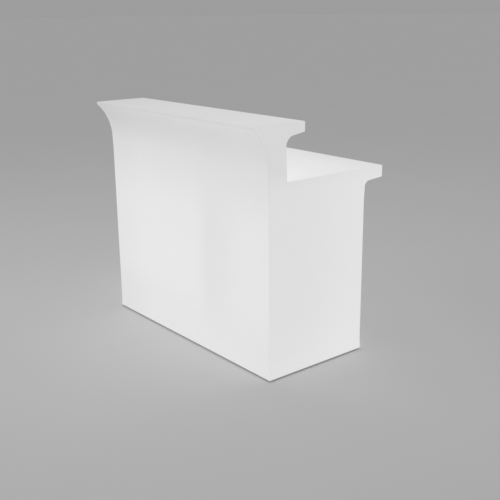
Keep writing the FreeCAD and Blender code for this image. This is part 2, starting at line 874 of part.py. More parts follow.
def pin_places():
    """Middles of the three pins in the socket: two live ones and the earth between and above them."""
    z = socket_z()
    return [Vector(inlet_x - pin_spacing / 2, 0, z), Vector(inlet_x, 0, z + earth_pin_rise),
            Vector(inlet_x + pin_spacing / 2, 0, z)]


def pin_blade(place, margin):
    """One pin, from inside the recess to the tail behind the body, with a margin round it."""
    depth = (inlet_back_y - pin_tail, inlet_face_y - pin_setback)
    return block(about(place.x, pin_width + 2 * margin), depth, about(place.z, pin_height + 2 * margin))


def inlet_housing():
    """Moulded inlet: flange and body with the socket, the fuse drawer's slot and the rocker's well."""
    face = inlet_face_y
    flange = rounded_block(about(inlet_x, inlet_body_width() + 2 * inlet_ear), (hatch_outer_y, face),
                           about(inlet_z, inlet_body_height() + 2 * inlet_flange_overlap),
                           y_axis, inlet_flange_round)
    body = block(about(inlet_x, inlet_body_width()), (inlet_back_y, hatch_outer_y),
                 about(inlet_z, inlet_body_height()))
    slot = block(about(inlet_x, drawer_width + 2 * loose_clearance),
                 (face - drawer_depth - loose_clearance, face + overrun),
                 about(drawer_z(), drawer_height + 2 * loose_clearance))
    pivot = rocker_pivot()
    well_floor = pivot.y - rocker_belly - rocker_well_clearance
    well = block(about(inlet_x, rocker_width + 2 * loose_clearance), (well_floor, face + overrun),
                 about(pivot.z, well_height()))
    pin_half = x_axis * (rocker_width / 2 + rocker_pin_reach + loose_clearance)
    bearing = rod(rocker_pin_radius + running_clearance, pivot - pin_half, pivot + pin_half)
    tools = [socket_space(), slot, well, bearing]
    tools += [pin_blade(place, running_clearance) for place in pin_places()]
    tools += [rod(inlet_screw_radius + hole_clearance, place - y_axis * overrun, place)
              for place in inlet_screw_places()]
    return fuse_all([flange, body]).cut(tools)


def inlet_pins():
    """The three blades, from the socket to the tails that the lead is crimped to."""
    return [pin_blade(place, 0) for place in pin_places()]


def inlet_screws():
    """Two screws through the inlet's flange and the hatch."""
    tail = inlet_screw_radius * (nut_height_share + head_height_share)
    length = inlet_flange_thickness + hatch_thickness + tail
    return [pan_screw(place, y_axis, inlet_screw_radius, length) for place in inlet_screw_places()]


def inlet_nuts():
    """Nuts on the inlet's screws, behind the hatch."""
    return [nut(Vector(place.x, hatch_inner_y, place.z), y_axis * -1, inlet_screw_radius)
            for place in inlet_screw_places()]


def boot_limits():
    """Depth limits of the boot round the inlet's back."""
    return (inlet_back_y - boot_space, inlet_back_y + boot_overlap)


def boot_outlet():
    """Where the mains lead leaves the boot, on its side face."""
    half = inlet_body_width() / 2 + loose_clearance + boot_wall
    return Vector(inlet_x - half, inlet_back_y - boot_space / 2, inlet_z)


def inlet_boot():
    """Soft cover over the inlet's terminals, with a side outlet for the lead."""
    low, high = boot_limits()
    inner_width = inlet_body_width() + 2 * loose_clearance
    inner_height = inlet_body_height() + 2 * loose_clearance
    shell = block(about(inlet_x, inner_width + 2 * boot_wall), (low - boot_wall, high),
                  about(inlet_z, inner_height + 2 * boot_wall))
    outlet = boot_outlet()
    sleeve = rod(mains_lead_radius + boot_outlet_wall, outlet - x_axis * boot_outlet_reach, outlet)
    space = block(about(inlet_x, inner_width), (low, high), about(inlet_z, inner_height))
    inside = outlet + x_axis * 2 * boot_wall
    bore = rod(mains_lead_radius + hole_clearance, outlet - x_axis * overrun, inside)
    return fuse_all([shell, sleeve]).cut([space, bore])


def rocker_switch():
    """Rocker with a shallow V in its face, tilted to its on position, on a pin at each side."""
    pivot = rocker_pivot()
    half = rocker_length / 2
    shoulder = rocker_shoulder()
    side_x = inlet_x - rocker_width / 2
    corners = ((-half, shoulder), (0, shoulder - rocker_crown), (half, shoulder), (half, 0),
               (rocker_belly, -rocker_belly), (-rocker_belly, -rocker_belly), (-half, 0), (-half, shoulder))
    points = [Vector(side_x, pivot.y + y, pivot.z + z) for z, y in corners]
    body = Part.Face(Part.makePolygon(points)).extrude(x_axis * rocker_width)
    pin_half = x_axis * (rocker_width / 2 + rocker_pin_reach)
    rocker = body.fuse(rod(rocker_pin_radius, pivot - pin_half, pivot + pin_half)).removeSplitter()
    rocker.rotate(pivot, x_axis, math.degrees(rocker_tilt))
    return rocker


def fuse_limits():
    """Depth limits of the fuse, in the middle of its drawer."""
    return about(inlet_face_y - drawer_depth / 2, fuse_length)


def fuse_drawer():
    """Drawer with a lip on the flange and a trough for the fuse."""
    face = inlet_face_y
    z = drawer_z()
    body = block(about(inlet_x, drawer_width), (face - drawer_depth, face), about(z, drawer_height))
    lip = block(about(inlet_x, drawer_width + 2 * drawer_lip_overlap), (face, face + drawer_lip),
                about(z, drawer_height + 2 * drawer_lip_overlap))
    low, high = fuse_limits()
    half = fuse_radius + running_clearance
    trough = block(about(inlet_x, 2 * half), (low - running_clearance, high + running_clearance),
                   (z - half, z + drawer_height))
    return fuse_all([body, lip]).cut(trough)


def fuse_link():
    """Fuse: a glass tube between two metal ends, which stand out a little."""
    low, high = fuse_limits()
    ends = []
    for start in (low, high - fuse_end_length):
        ends.append(rod(fuse_radius, Vector(inlet_x, start, drawer_z()),
                        Vector(inlet_x, start + fuse_end_length, drawer_z())))
    glass = rod(fuse_radius - running_clearance * 2, Vector(inlet_x, low, drawer_z()),
                Vector(inlet_x, high, drawer_z()))
    return glass.fuse(ends).removeSplitter()


def inlet_lead_points():
    """Route of the mains lead: out of the boot, back to the hatch, then in a shallow sag to its gland."""
    outlet = boot_outlet()
    start = outlet + x_axis * lead_tail
    out = outlet - x_axis * lead_first_run
    heights = (inlet_z, inlet_z - lead_sag, inlet_z - lead_sag, inlet_z, inlet_z)
    across = spread(out.x - lead_shift_run, driver_limits[1] + gland_length / 2, len(heights))
    return [start, out] + [Vector(x, mains_lead_y, z) for x, z in zip(across, heights)]


def saddle_x():
    """The saddle holds the lead in the middle of its lowest run."""
    points = inlet_lead_points()
    return (points[3].x + points[4].x) / 2


def lead_saddle():
    """Saddle that holds the mains lead on the hatch, with one screwed foot."""
    z = inlet_z - lead_sag
    reach = mains_lead_radius + saddle_wall
    width = about(saddle_x(), saddle_width)
    hoop = block(width, (mains_lead_y - reach, hatch_inner_y), about(z, 2 * reach))
    foot = block(width, (hatch_inner_y - saddle_wall, hatch_inner_y), (z - reach - saddle_foot, z))
    bore = rod(mains_lead_radius + hole_clearance, Vector(width[0], mains_lead_y, z),
               Vector(width[1], mains_lead_y, z))
    return fuse_all([hoop, foot]).cut([bore, kit_screw_bore(saddle_screw_place())])


def loop_points(start, end, side):
    """Route of a lead that turns round beside the hatch's opening: side is -1 on the left."""
    far = side * (half_opening - loop_from_edge)
    near = far - side * loop_slant
    low, high = start.z, end.z
    bends = ((near, low), (far, low + loop_slant), (far, high - loop_slant), (near, high))
    return [start] + [Vector(x, led_lead_y, z) for x, z in bends] + [end]


def channel_mouth(row, side):
    """Where a lead ends inside a channel, just short of its board."""
    x = side * (channel_length / 2 - board_end_gap + running_clearance)
    return Vector(x, led_lead_y, channel_heights()[row])


def bay_shelf():
    """Laminated board across the bay."""
    low, high = shelf_limits()
    return block(about(0, 2 * (half_bay - shelf_side_gap)), (low, high - edge_band_thickness),
                 (shelf_height - shelf_thickness, shelf_height))


def shelf_edge_band():
    """Band glued on the edge that faces the bartender."""
    high = shelf_limits()[1]
    return block(about(0, 2 * (half_bay - shelf_side_gap)), (high - edge_band_thickness, high),
                 (shelf_height - shelf_thickness, shelf_height))


def shelf_rail(side):
    """Angle under one end of the shelf: side is -1 on the left and 1 on the right."""
    top = shelf_height - shelf_thickness
    depth = rail_limits()
    wall_x = side * half_bay
    ledge = block(sorted((wall_x, wall_x - side * rail_leg)), depth, (top - rail_thickness, top))
    upright = block(sorted((wall_x, wall_x - side * rail_thickness)), depth, (top - rail_leg, top))
    inward = x_axis * -side
    holes = [flat_screw_hole(place + inward * rail_thickness, inward, rail_screw_radius, overrun)
             for place in rail_screw_places(side)]
    return fuse_all([ledge, upright]).cut(holes)


def rail_screws():
    """Countersunk screws through both rails into the shell's inserts."""
    length = rail_thickness + rail_insert_length - loose_clearance
    return [flat_screw(place - x_axis * side * rail_thickness, x_axis * -side, rail_screw_radius, length)
            for side in (-1, 1) for place in rail_screw_places(side)]


def rail_inserts():
    """Brass inserts behind the rails."""
    return [insert(place, x_axis * side, insert_radius, rail_insert_length, rail_screw_radius)
            for side in (-1, 1) for place in rail_screw_places(side)]


def make_parts():
    """Every piece of the counter, by name."""
    parts = {"body_shell": body_shell(), "vent_plug": vent_plug()}
    for name, place in foot_places().items():
        parts["foot_pad_" + name] = foot_pad(place)
        parts["foot_stud_" + name] = foot_stud(place)
    parts["foot_inserts"] = foot_inserts()
    parts["light_hatch"] = light_hatch()
    parts["hatch_gasket"] = hatch_gasket()
    parts["hatch_screws"] = hatch_screws()
    parts["hatch_inserts"] = hatch_inserts()
    for name, z in zip(channel_names, channel_heights()):
        parts["led_channel_" + name] = led_channel(z)
        parts["led_board_" + name] = led_board(z)
        parts["led_diffuser_" + name] = led_diffuser(z)
    parts["led_end_caps"] = led_end_caps()
    parts["channel_clips"] = channel_clips()
    parts["kit_screws"] = kit_screws()
    parts["kit_nuts"] = kit_nuts()
    parts["driver_case"] = driver_case()
    parts["driver_board"] = driver_board()
    parts["driver_caps"] = driver_caps()
    parts["inlet_housing"] = inlet_housing()
    parts["inlet_pins"] = inlet_pins()
    parts["inlet_screws"] = inlet_screws()
    parts["inlet_nuts"] = inlet_nuts()
    parts["inlet_boot"] = inlet_boot()
    parts["rocker_switch"] = rocker_switch()
    parts["fuse_drawer"] = fuse_drawer()
    parts["fuse_link"] = fuse_link()
    parts["mains_lead"] = lead(inlet_lead_points(), mains_lead_radius, "mains_lead")
    gland = Vector(driver_limits[0] - gland_length / 2, led_lead_y, inlet_z)
    parts["led_lead"] = lead(loop_points(gland, channel_mouth(0, -1), -1), led_lead_radius, "led_lead")
    parts["jumper_lower"] = lead(loop_points(channel_mouth(0, 1), channel_mouth(1, 1), 1),
                                 led_lead_radius, "jumper_lower")
    parts["jumper_upper"] = lead(loop_points(channel_mouth(1, -1), channel_mouth(2, -1), -1),
                                 led_lead_radius, "jumper_upper")
    parts["lead_saddle"] = lead_saddle()
    parts["bay_shelf"] = bay_shelf()
    parts["shelf_edge_band"] = shelf_edge_band()
    parts["shelf_rail_left"] = shelf_rail(-1)
    parts["shelf_rail_right"] = shelf_rail(1)
    parts["rail_screws"] = rail_screws()
    parts["rail_inserts"] = rail_inserts()
    return parts


def main():
    """Write every piece to its own file."""
    os.makedirs("parts", exist_ok=True)
    for name, shape in make_parts().items():
        if isinstance(shape, list):
            shape = Part.makeCompound(shape)
        shape.exportStep("parts/" + name + ".step")
        print(name, "solids", len(shape.Solids), "valid", shape.isValid(), "volume", round(shape.Volume))


main()
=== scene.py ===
# %% [markdown]
# # Dressing a lit bar counter
# The CAD model of this counter is already packed: every piece has its size, its place and its joints. This
# lesson gives it the looks of the real thing. The shell of the real counter is moulded from milky plastic
# and glows from the lamps inside it, so most of the work is the form of that shell, and then the plastic
# itself. The pieces on the bartender's side come after it. The model is loaded first, as a fixed frame, and
# the boxes of its pieces are measured from it as they are needed.

# %% Load the imported model
import math

import bmesh
import bpy
from mathutils import Matrix, Vector


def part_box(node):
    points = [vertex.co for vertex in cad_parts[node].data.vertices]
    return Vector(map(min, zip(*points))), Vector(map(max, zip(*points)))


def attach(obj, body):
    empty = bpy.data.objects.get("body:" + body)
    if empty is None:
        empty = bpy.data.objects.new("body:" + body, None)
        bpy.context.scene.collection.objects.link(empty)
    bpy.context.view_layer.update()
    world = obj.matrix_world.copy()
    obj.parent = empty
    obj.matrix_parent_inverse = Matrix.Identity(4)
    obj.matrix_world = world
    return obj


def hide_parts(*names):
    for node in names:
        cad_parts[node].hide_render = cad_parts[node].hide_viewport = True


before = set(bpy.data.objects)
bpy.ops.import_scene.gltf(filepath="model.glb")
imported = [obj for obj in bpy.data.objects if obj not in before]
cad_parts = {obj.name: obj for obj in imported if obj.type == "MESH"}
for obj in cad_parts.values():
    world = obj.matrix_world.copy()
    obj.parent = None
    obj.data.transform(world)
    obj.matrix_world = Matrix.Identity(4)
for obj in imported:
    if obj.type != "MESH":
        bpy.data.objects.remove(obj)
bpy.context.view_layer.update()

print("CAD nodes", len(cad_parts))

# %% [markdown]
# ## The photographer's place
# The picture was taken from beyond the counter's right end, from about eye height, with a slightly long
# lens. The place below was found from the straight edges of the counter in the picture. Nothing is shifted
# or blurred, so the camera can be moved round the counter later on.

# %% Place the camera
camera_place = Vector((3.0256, -2.3357, 1.5436))
camera_turn = math.radians(51.14)
camera_dip = math.radians(16.70)
camera_roll = math.radians(-0.59)
lens_length = 57.99
film_width = 36
quarter_turn = math.pi / 2

bpy.ops.object.camera_add()
camera = bpy.context.object
camera.name = "photo_camera"
camera.data.lens = lens_length
camera.data.sensor_width = film_width
camera.matrix_world = (Matrix.Translation(camera_place) @ Matrix.Rotation(camera_turn, 4, "Z")
                       @ Matrix.Rotation(quarter_turn - camera_dip, 4, "X")
                       @ Matrix.Rotation(camera_roll, 4, "Z"))
bpy.context.scene.camera = camera
print("camera at", tuple(round(c, 3) for c in camera_place))

# %% [markdown]
# ## Writing finishes as sums
# A finish is a small calculation: where is this point, how far is it from an edge, how much does that change
# the colour. Node by node that is long to write, so a signal wraps a socket and Python's own operators add
# the Math nodes. Colours go through Mix, because a Math node would turn them grey. All other nodes come from
# one method, which takes a node's type, its settings, and what its sockets are fed with.

# %% A signal that can be added, multiplied and compared
class Signal:
    """The value of a socket, on which Python's operators add Math nodes."""

    def __init__(self, sheet, socket):
        self.sheet = sheet
        self.socket = socket

    def math(self, operation, *values):
        """One Math node of an operation on some values."""
        return self.sheet.node("ShaderNodeMath", {"operation": operation}, dict(enumerate(values)))

    def __add__(self, other):
        return self.math("ADD", self, other)

    def __radd__(self, other):
        return self.math("ADD", other, self)

    def __sub__(self, other):
        return self.math("SUBTRACT", self, other)

    def __rsub__(self, other):
        return self.math("SUBTRACT", other, self)

    def __mul__(self, other):
        return self.math("MULTIPLY", self, other)

    def __truediv__(self, other):
        return self.math("DIVIDE", self, other)

    def __abs__(self):
        return self.math("ABSOLUTE", self)

    def rise(self, start, end):
        """From 0 at a start to 1 at an end, without a kink."""
        return self.sheet.node("ShaderNodeMapRange", {"interpolation_type": "SMOOTHSTEP"},
                               {"Value": self, "From Min": start, "From Max": end})

    def zigzag(self):
        """Up from 0 to 1 and down again, once for each whole number that the signal passes."""
        return self.math("PINGPONG", self, 0.5) * 2

    __rmul__ = __mul__


# %% A sheet of nodes, and a finish on the Principled shader
class NodeSheet:
    """A node tree in the making."""

    def __init__(self, tree):
        self.tree = tree

    def node(self, kind, settings, values, out=0):
        """Add a node: its settings come first, then the values or links of its sockets."""
        made = self.tree.nodes.new(kind)
        for name, value in settings.items():
            setattr(made, name, value)
        for socket, value in values.items():
            self.feed(made.inputs[socket], value)
        return Signal(self, made.outputs[out])

    def feed(self, socket, value):
        """Link a signal to a socket, or set the socket to a plain value."""
        if isinstance(value, Signal):
            self.tree.links.new(value.socket, socket)
        else:
            socket.default_value = value


class Finish(NodeSheet):
    """A material in the making: its shader, the place of a point on the piece, and its nodes."""

    def __init__(self, name, **settings):
        self.material = bpy.data.materials.new(name)
        self.material.use_nodes = True
        super().__init__(self.material.node_tree)
        self.shader = self.tree.nodes["Principled BSDF"]
        for socket, value in settings.items():
            self.shader.inputs[socket.replace("_", " ")].default_value = value
        self.place = self.node("ShaderNodeTexCoord", {}, {}, "Object")

    def set(self, socket, value):
        """Feed one of the shader's own sockets."""
        self.feed(self.shader.inputs[socket], value)

    def part(self, axis):
        """One coordinate of the point: X, Y or Z."""
        return self.node("ShaderNodeSeparateXYZ", {}, {"Vector": self.place}, axis)

    def noise(self, size, detail=2.0, stretch=(1, 1, 1)):
        """Soft random patches of about a size in metres, from 0 to 1, drawn out by a stretch per axis."""
        scale = [1 / (size * share) for share in stretch]
        moved = self.node("ShaderNodeMapping", {}, {"Vector": self.place, "Scale": scale})
        return self.node("ShaderNodeTexNoise", {}, {"Vector": moved, "Scale": 1.0, "Detail": detail})

    def cells(self, per_metre, randomness, out, distance="EUCLIDEAN"):
        """Cells round scattered points, so many to the metre: their Color or the Distance from a point."""
        return self.node("ShaderNodeTexVoronoi", {"feature": "F1", "distance": distance},
                         {"Vector": self.place, "Scale": per_metre, "Randomness": randomness}, out)

    def blend(self, mask, plain, other):
        """A colour between two, by a mask."""
        mask_socket, plain_socket, other_socket, colour_out = 0, 6, 7, 2
        values = {mask_socket: mask, plain_socket: plain, other_socket: other}
        return self.node("ShaderNodeMix", {"data_type": "RGBA"}, values, colour_out)

    def rounded_normal(self, radius):
        """The normal as if every sharp edge were rounded to a radius."""
        return self.node("ShaderNodeBevel", {"samples": 4}, {"Radius": radius})

    def relief(self, height, depth, soft_edge=0):
        """Raise the surface by a height from 0 to 1 times a depth, and round its sharp edges' normals."""
        values = {"Height": height, "Distance": depth}
        if soft_edge:
            values["Normal"] = self.rounded_normal(soft_edge)
        self.set("Normal", self.node("ShaderNodeBump", {}, values))

    def edge_mask(self, width):
        """1 on edges within a width and 0 on flats, from how far a rounded normal leaves the real one."""
        real = self.node("ShaderNodeNewGeometry", {}, {}, "Normal")
        match = self.node("ShaderNodeVectorMath", {"operation": "DOT_PRODUCT"},
                          {0: self.rounded_normal(width), 1: real}, "Value")
        return (1 - match).rise(0.02, 0.25)


# %% Plain greys
black, white = (0, 0, 0, 1), (1, 1, 1, 1)


def grey(level, warmth=0.0):
    """A neutral colour of a linear level, a little warmer or cooler."""
    return (level * (1 + warmth), level, level * (1 - warmth), 1)


def toned(colour, factor, lift=0.0):
    """A colour made darker or brighter by a factor and lifted, up to full white."""
    return tuple(min(1, part * factor + lift) for part in colour[:3]) + (1,)


print("a middle grey:", grey(0.5), "made brighter:", toned(grey(0.5), 1.2))

# %% [markdown]
# ## A plain studio
# A glowing thing looks brightest against something quieter. So the floor is a pale matt grey with a faint
# unevenness, and the sky is a middle grey that runs into the floor's own grey at the horizon, so that no
# line shows there. Two large soft lamps only shape the forms a little. The Standard view keeps the colours
# as they are worked out, where the filmic one would bend the whites of the counter.

# %% Lay the floor
floor_grey = 0.90
floor_radius = 200
floor_sides = 96

bpy.ops.mesh.primitive_circle_add(vertices=floor_sides, radius=floor_radius, fill_type="NGON")
floor = bpy.context.object
floor.name = "studio_floor"

floor_paint = Finish("floor_paint", Roughness=0.7, Specular_IOR_Level=0.0)
floor_tone = floor_paint.blend(floor_paint.noise(0.9, 3), grey(floor_grey), grey(floor_grey * 1.03))
floor_paint.set("Base Color", floor_tone)
floor.data.materials.append(floor_paint.material)
print("floor radius", floor_radius)

# %% Shade the sky towards the horizon
sky_grey = 0.38
horizon_grey = floor_grey * sky_grey * 0.99
sky_blend = 0.2

world = bpy.data.worlds.new("studio_sky")
world.use_nodes = True
bpy.context.scene.world = world
bpy.context.scene.view_settings.view_transform = "Standard"
sky = NodeSheet(world.node_tree)
direction = sky.node("ShaderNodeTexCoord", {}, {}, "Generated")
height = sky.node("ShaderNodeSeparateXYZ", {}, {"Vector": direction}, "Z")
sky_tone = sky.node("ShaderNodeMapRange", {}, {"Value": height, "From Max": sky_blend,
                                               "To Min": horizon_grey, "To Max": sky_grey})
sky.feed(sky.tree.nodes["Background"].inputs["Color"], sky_tone)
print("sky", sky_grey, "horizon", round(horizon_grey, 3))


# %% Hang two soft lamps
counter_middle = Vector((0, 0, 0.55))


def soft_lamp(name, place, size, power):
    """A square lamp at a place, looking at the middle of the counter."""
    place = Vector(place)
    bpy.ops.object.light_add(type="AREA", location=place)
    lamp = bpy.context.object
    lamp.name = name
    lamp.data.size = size
    lamp.data.energy = power
    lamp.rotation_euler = (counter_middle - place).to_track_quat("-Z", "Y").to_euler()


soft_lamp("lamp_over", place=(-0.6, 0.5, 4.2), size=3.5, power=12)
soft_lamp("lamp_aside", place=(-2.6, -3.6, 2.6), size=2.5, power=14)

# %% [markdown]
# ## Working as by hand
# Everything below is modelled with the operators that a person uses in the viewport. An operator acts on
# whatever is selected, and the CAD nodes arrive selected, so each piece starts by deselecting everything.
# Faces and edges are then picked by where they are or which way they face.

# %% Start a piece from a primitive
def start_clean():
    """Go back to object mode with nothing selected."""
    if bpy.context.mode != "OBJECT":
        bpy.ops.object.mode_set(mode="OBJECT")
    bpy.ops.object.select_all(action="DESELECT")


def take(piece):
    """Make one piece the only selected and active one."""
    start_clean()
    piece.select_set(True)
    bpy.context.view_layer.objects.active = piece


def settle(piece):
    """Put a piece's place into its mesh, so that its object stays at the origin."""
    take(piece)
    bpy.ops.object.transform_apply(location=True, rotation=True, scale=True)
    return piece


def new_block(name, low, high):
    """A block between two corners, as the start of a piece."""
    start_clean()
    low, high = Vector(low), Vector(high)
    bpy.ops.mesh.primitive_cube_add(size=1, location=(low + high) / 2, scale=high - low)
    piece = bpy.context.object
    piece.name = name
    return settle(piece)


# %% Pick faces and edges by place, and bevel edges
tiny = 0.00001
nearly_one = 0.999
origin = Vector((0, 0, 0))
x_axis, y_axis, z_axis = Vector((1, 0, 0)), Vector((0, 1, 0)), Vector((0, 0, 1))


def open_piece(piece):
    """Open a piece in edit mode."""
    take(piece)
    bpy.ops.object.mode_set(mode="EDIT")


def pick(kind, test):
    """Select the faces or edges of the open piece that pass a test, and nothing else. Return how many."""
    bpy.ops.mesh.select_mode(type={"faces": "FACE", "edges": "EDGE"}[kind])
    bpy.ops.mesh.select_all(action="DESELECT")
    mesh = bpy.context.object.data
    shape = bmesh.from_edit_mesh(mesh)
    found = [part for part in getattr(shape, kind) if test(part)]
    for part in found:
        part.select_set(True)
    bmesh.update_edit_mesh(mesh)
    return len(found)


def middle(part):
    """Middle of an edge or a face."""
    return sum((corner.co for corner in part.verts), Vector()) / len(part.verts)


def runs_along(edge, axis):
    """Whether an edge runs along an axis."""
    run = edge.verts[1].co - edge.verts[0].co
    return abs(run.dot(axis)) > nearly_one * run.length


def reaches(edge, y):
    """Whether an edge lies wholly at or beyond one y."""
    return all(corner.co.y > y - tiny for corner in edge.verts)


def bevel_edges(piece, test, offset, segments):
    """Bevel the edges of a piece that pass a test. Return how many they were."""
    open_piece(piece)
    found = pick("edges", test)
    bpy.ops.mesh.bevel(offset=offset, segments=segments, affect="EDGES")
    start_clean()
    return found


# %% [markdown]
# ## Drawing with one vertex
# Two kinds of form come back all the time: a section with rounded corners, and a turned piece. Both can be
# drawn by pulling one vertex along. A plane merged at its centre leaves a single vertex, extrude pulls it
# straight, and spin takes it round a corner in a true arc, which a vertex bevel only does at right angles.

# %% Pull a vertex along
def first_vertex(name, place):
    """Begin a drawing: a new piece, open, with a single vertex at a place."""
    start_clean()
    bpy.ops.mesh.primitive_plane_add(size=tiny, location=place)
    piece = bpy.context.object
    piece.name = name
    settle(piece)
    bpy.ops.object.mode_set(mode="EDIT")
    bpy.ops.mesh.select_mode(type="VERT")
    bpy.ops.mesh.select_all(action="SELECT")
    bpy.ops.mesh.merge(type="CENTER")
    return piece


def pull(step):
    """Extrude what is selected by a step."""
    bpy.ops.mesh.extrude_region_move(TRANSFORM_OT_translate={"value": step})


def close_skin():
    """Merge doubles all over the open piece and turn its faces outwards."""
    bpy.ops.mesh.select_mode(type="VERT")
    bpy.ops.mesh.select_all(action="SELECT")
    bpy.ops.mesh.remove_doubles(threshold=tiny)
    bpy.ops.mesh.normals_make_consistent(inside=False)


# %% Draw a section with round corners
def round_corner(before, here, after, radius):
    """Start, centre, end and signed turn about X of the arc in a corner."""
    back = (before - here).normalized()
    ahead = (after - here).normalized()
    half = back.angle(ahead) / 2
    reach = radius / math.tan(half)
    centre = here + (back + ahead).normalized() * (radius / math.sin(half))
    turn = math.copysign(math.pi - 2 * half, ahead.cross(back).x)
    return here + back * reach, centre, here + ahead * reach, turn


def draw_section(name, x, corners, arc_step=math.radians(6)):
    """Closed section across the counter at one x, filled with a face. A corner is (y, z, radius)."""
    places = [Vector((x, y, z)) for y, z, _ in corners]
    arcs = [round_corner(places[spot - 1], here, places[(spot + 1) % len(places)], corners[spot][2])
            for spot, here in enumerate(places)]
    piece = first_vertex(name, arcs[0][0])
    for spot, (_, centre, leave, turn) in enumerate(arcs):
        steps = math.ceil(abs(turn) / arc_step)
        bpy.ops.mesh.spin(steps=steps, angle=-turn, center=centre, axis=x_axis)
        pull(arcs[(spot + 1) % len(arcs)][0] - leave)
    bpy.ops.mesh.select_all(action="SELECT")
    bpy.ops.mesh.remove_doubles(threshold=tiny)
    bpy.ops.mesh.edge_face_add()
    return piece


# %% Turn a piece about an axis
def thousandths(*points):
    """Profile points given in millimetres."""
    return [(radius / 1000, height / 1000) for radius, height in points]


def rod_profile(radius, reach):
    """Profile of a plain rod that reaches as far below its foot as above it."""
    return [(0, -reach), (radius, -reach), (radius, reach), (0, reach)]


def turn_piece(name, foot, axis, profile, sides):
    """A turned piece: (radius, height) points are drawn beside the axis and spun all the way round it."""
    side = z_axis if axis.dot(z_axis) == 0 else y_axis
    places = [foot + side * radius + axis * height for radius, height in profile]
    piece = first_vertex(name, places[0])
    for here, there in zip(places, places[1:]):
        pull(there - here)
    bpy.ops.mesh.select_all(action="SELECT")
    bpy.ops.mesh.spin(steps=sides, angle=math.tau, center=foot, axis=axis)
    close_skin()
    start_clean()
    return piece


# %% [markdown]
# ## Cutting, joining and copying
# Openings and bosses are made as on the CAD model: a simple solid is cut out of the piece or added to it,
# with a Boolean modifier that is applied at once. Its exact solver keeps every piece closed. What repeats is
# modelled once and copied, and each copy gets a mesh of its own, so that it can ride on its own body.

# %% Apply modifiers, combine pieces and copy them
crease_angle = math.radians(35)


def apply_modifier(piece, kind, **settings):
    """Add a modifier, set it and apply it."""
    take(piece)
    modifier = piece.modifiers.new(kind.title(), kind)
    for name, value in settings.items():
        setattr(modifier, name, value)
    bpy.ops.object.modifier_apply(modifier=modifier.name)


def combine(piece, tool, operation):
    """Cut a tool out of a piece, or add it, and delete the tool."""
    apply_modifier(piece, "BOOLEAN", object=tool, operation=operation, solver="EXACT")
    start_clean()
    bpy.data.objects.remove(tool)


def join(pieces):
    """Several pieces as one."""
    start_clean()
    for piece in pieces:
        piece.select_set(True)
    bpy.context.view_layer.objects.active = pieces[0]
    bpy.ops.object.join()
    return pieces[0]


def copy_moved(piece, step):
    """A copy of a piece with its own mesh, moved by a step."""
    take(piece)
    bpy.ops.object.duplicate(linked=False)
    bpy.ops.transform.translate(value=step)
    return settle(bpy.context.object)


def smooth_by_angle(piece):
    """Smooth shading with true flats: sharp where faces turn by more than an angle, weighted by area."""
    take(piece)
    bpy.ops.object.shade_smooth_by_angle(angle=crease_angle)
    apply_modifier(piece, "WEIGHTED_NORMAL", keep_sharp=True)


# %% [markdown]
# ## The sizes of the shell
# The frame gives the shell's outer box. The sizes inside that box, such as how far the nose reaches over
# the customer's face, are the same ones that the CAD model was built from, here in metres. With them the
# end view of the shell is worked out as a ring of corners, each with its own radius.

# %% Read the shell's box and name its sizes
shell_low, shell_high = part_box("body_shell")
half_length = shell_high.x
bar_height = shell_high.z
worktop_height = 0.865
body_depth = 0.560
nose_reach = 0.077
nose_thickness = 0.012
bar_top_depth = 0.196
bar_lip_height = 0.044
bar_lip_slope = math.radians(8)
riser_foot_depth = 0.101
riser_lean = math.radians(2.8)
riser_top_round = 0.046
riser_foot_round = 0.004
worktop_lip_height = 0.054
worktop_lip_slope = math.radians(4)
worktop_lip_round = 0.008
worktop_under_round = 0.028
flare_turn = math.radians(48)
flare_land = 0.0004
edge_round = 0.0059
end_round = 0.0055
wall = 0.006
front_y = shell_low.y + nose_reach
back_y = front_y + body_depth
print("customer's face at y", round(front_y, 4), "bartender's face at y", round(back_y, 4))


# %% Work out the corners of the end view
def end_view():
    """Corners of the shell's end view, from the customer's foot up round the nose and back to the floor."""
    nose_foot = bar_height - nose_thickness
    flare_corner = nose_foot - nose_reach / math.tan(flare_turn)
    half_turn = math.tan(flare_turn / 2)
    flare_radius = (nose_reach / math.sin(flare_turn) - edge_round * half_turn - flare_land) / half_turn
    bar_lip_foot = bar_height - bar_lip_height
    lean = math.tan(riser_lean)
    slope = math.tan(bar_lip_slope)
    riser_reach = bar_top_depth - riser_foot_depth - lean * worktop_height
    riser_top = (bar_lip_foot - slope * riser_reach) / (1 + lean * slope)
    riser_top_y = front_y + riser_foot_depth - lean * (riser_top - worktop_height)
    worktop_lip_foot = worktop_height - worktop_lip_height
    overhang = shell_high.y - back_y
    return [(front_y, shell_low.z, edge_round),
            (front_y, flare_corner, flare_radius),
            (shell_low.y, nose_foot, edge_round),
            (shell_low.y, bar_height, edge_round),
            (front_y + bar_top_depth, bar_height, edge_round),
            (front_y + bar_top_depth, bar_lip_foot, edge_round),
            (riser_top_y, riser_top, riser_top_round),
            (front_y + riser_foot_depth, worktop_height, riser_foot_round),
            (shell_high.y, worktop_height, edge_round),
            (shell_high.y, worktop_lip_foot, worktop_lip_round),
            (back_y, worktop_lip_foot - overhang * math.tan(worktop_lip_slope), worktop_under_round),
            (back_y, shell_low.z, edge_round)]


corners = end_view()
print("the end view has", len(corners), "corners")

# %% [markdown]
# ## The outer form
# The real shell is one rotational moulding: powder melts against the inside of a hot mould, so every edge
# comes out round. The section is drawn once and extruded along the counter. Its ends are rounded by
# insetting the end face in small steps that follow a quarter circle. A Bevel bulges on the tight corners of
# this outline, where its many short edges meet, and insetting doesn't. Some level cuts round the body give
# its upright edges rows of points, which the next step needs.

# %% Extrude the section, cut it level and round its rims
rim_steps = 6
soft_low = 0.012
soft_high = 0.920
soft_rear_high = 0.770
soft_ease = 0.050
soft_rows = 4


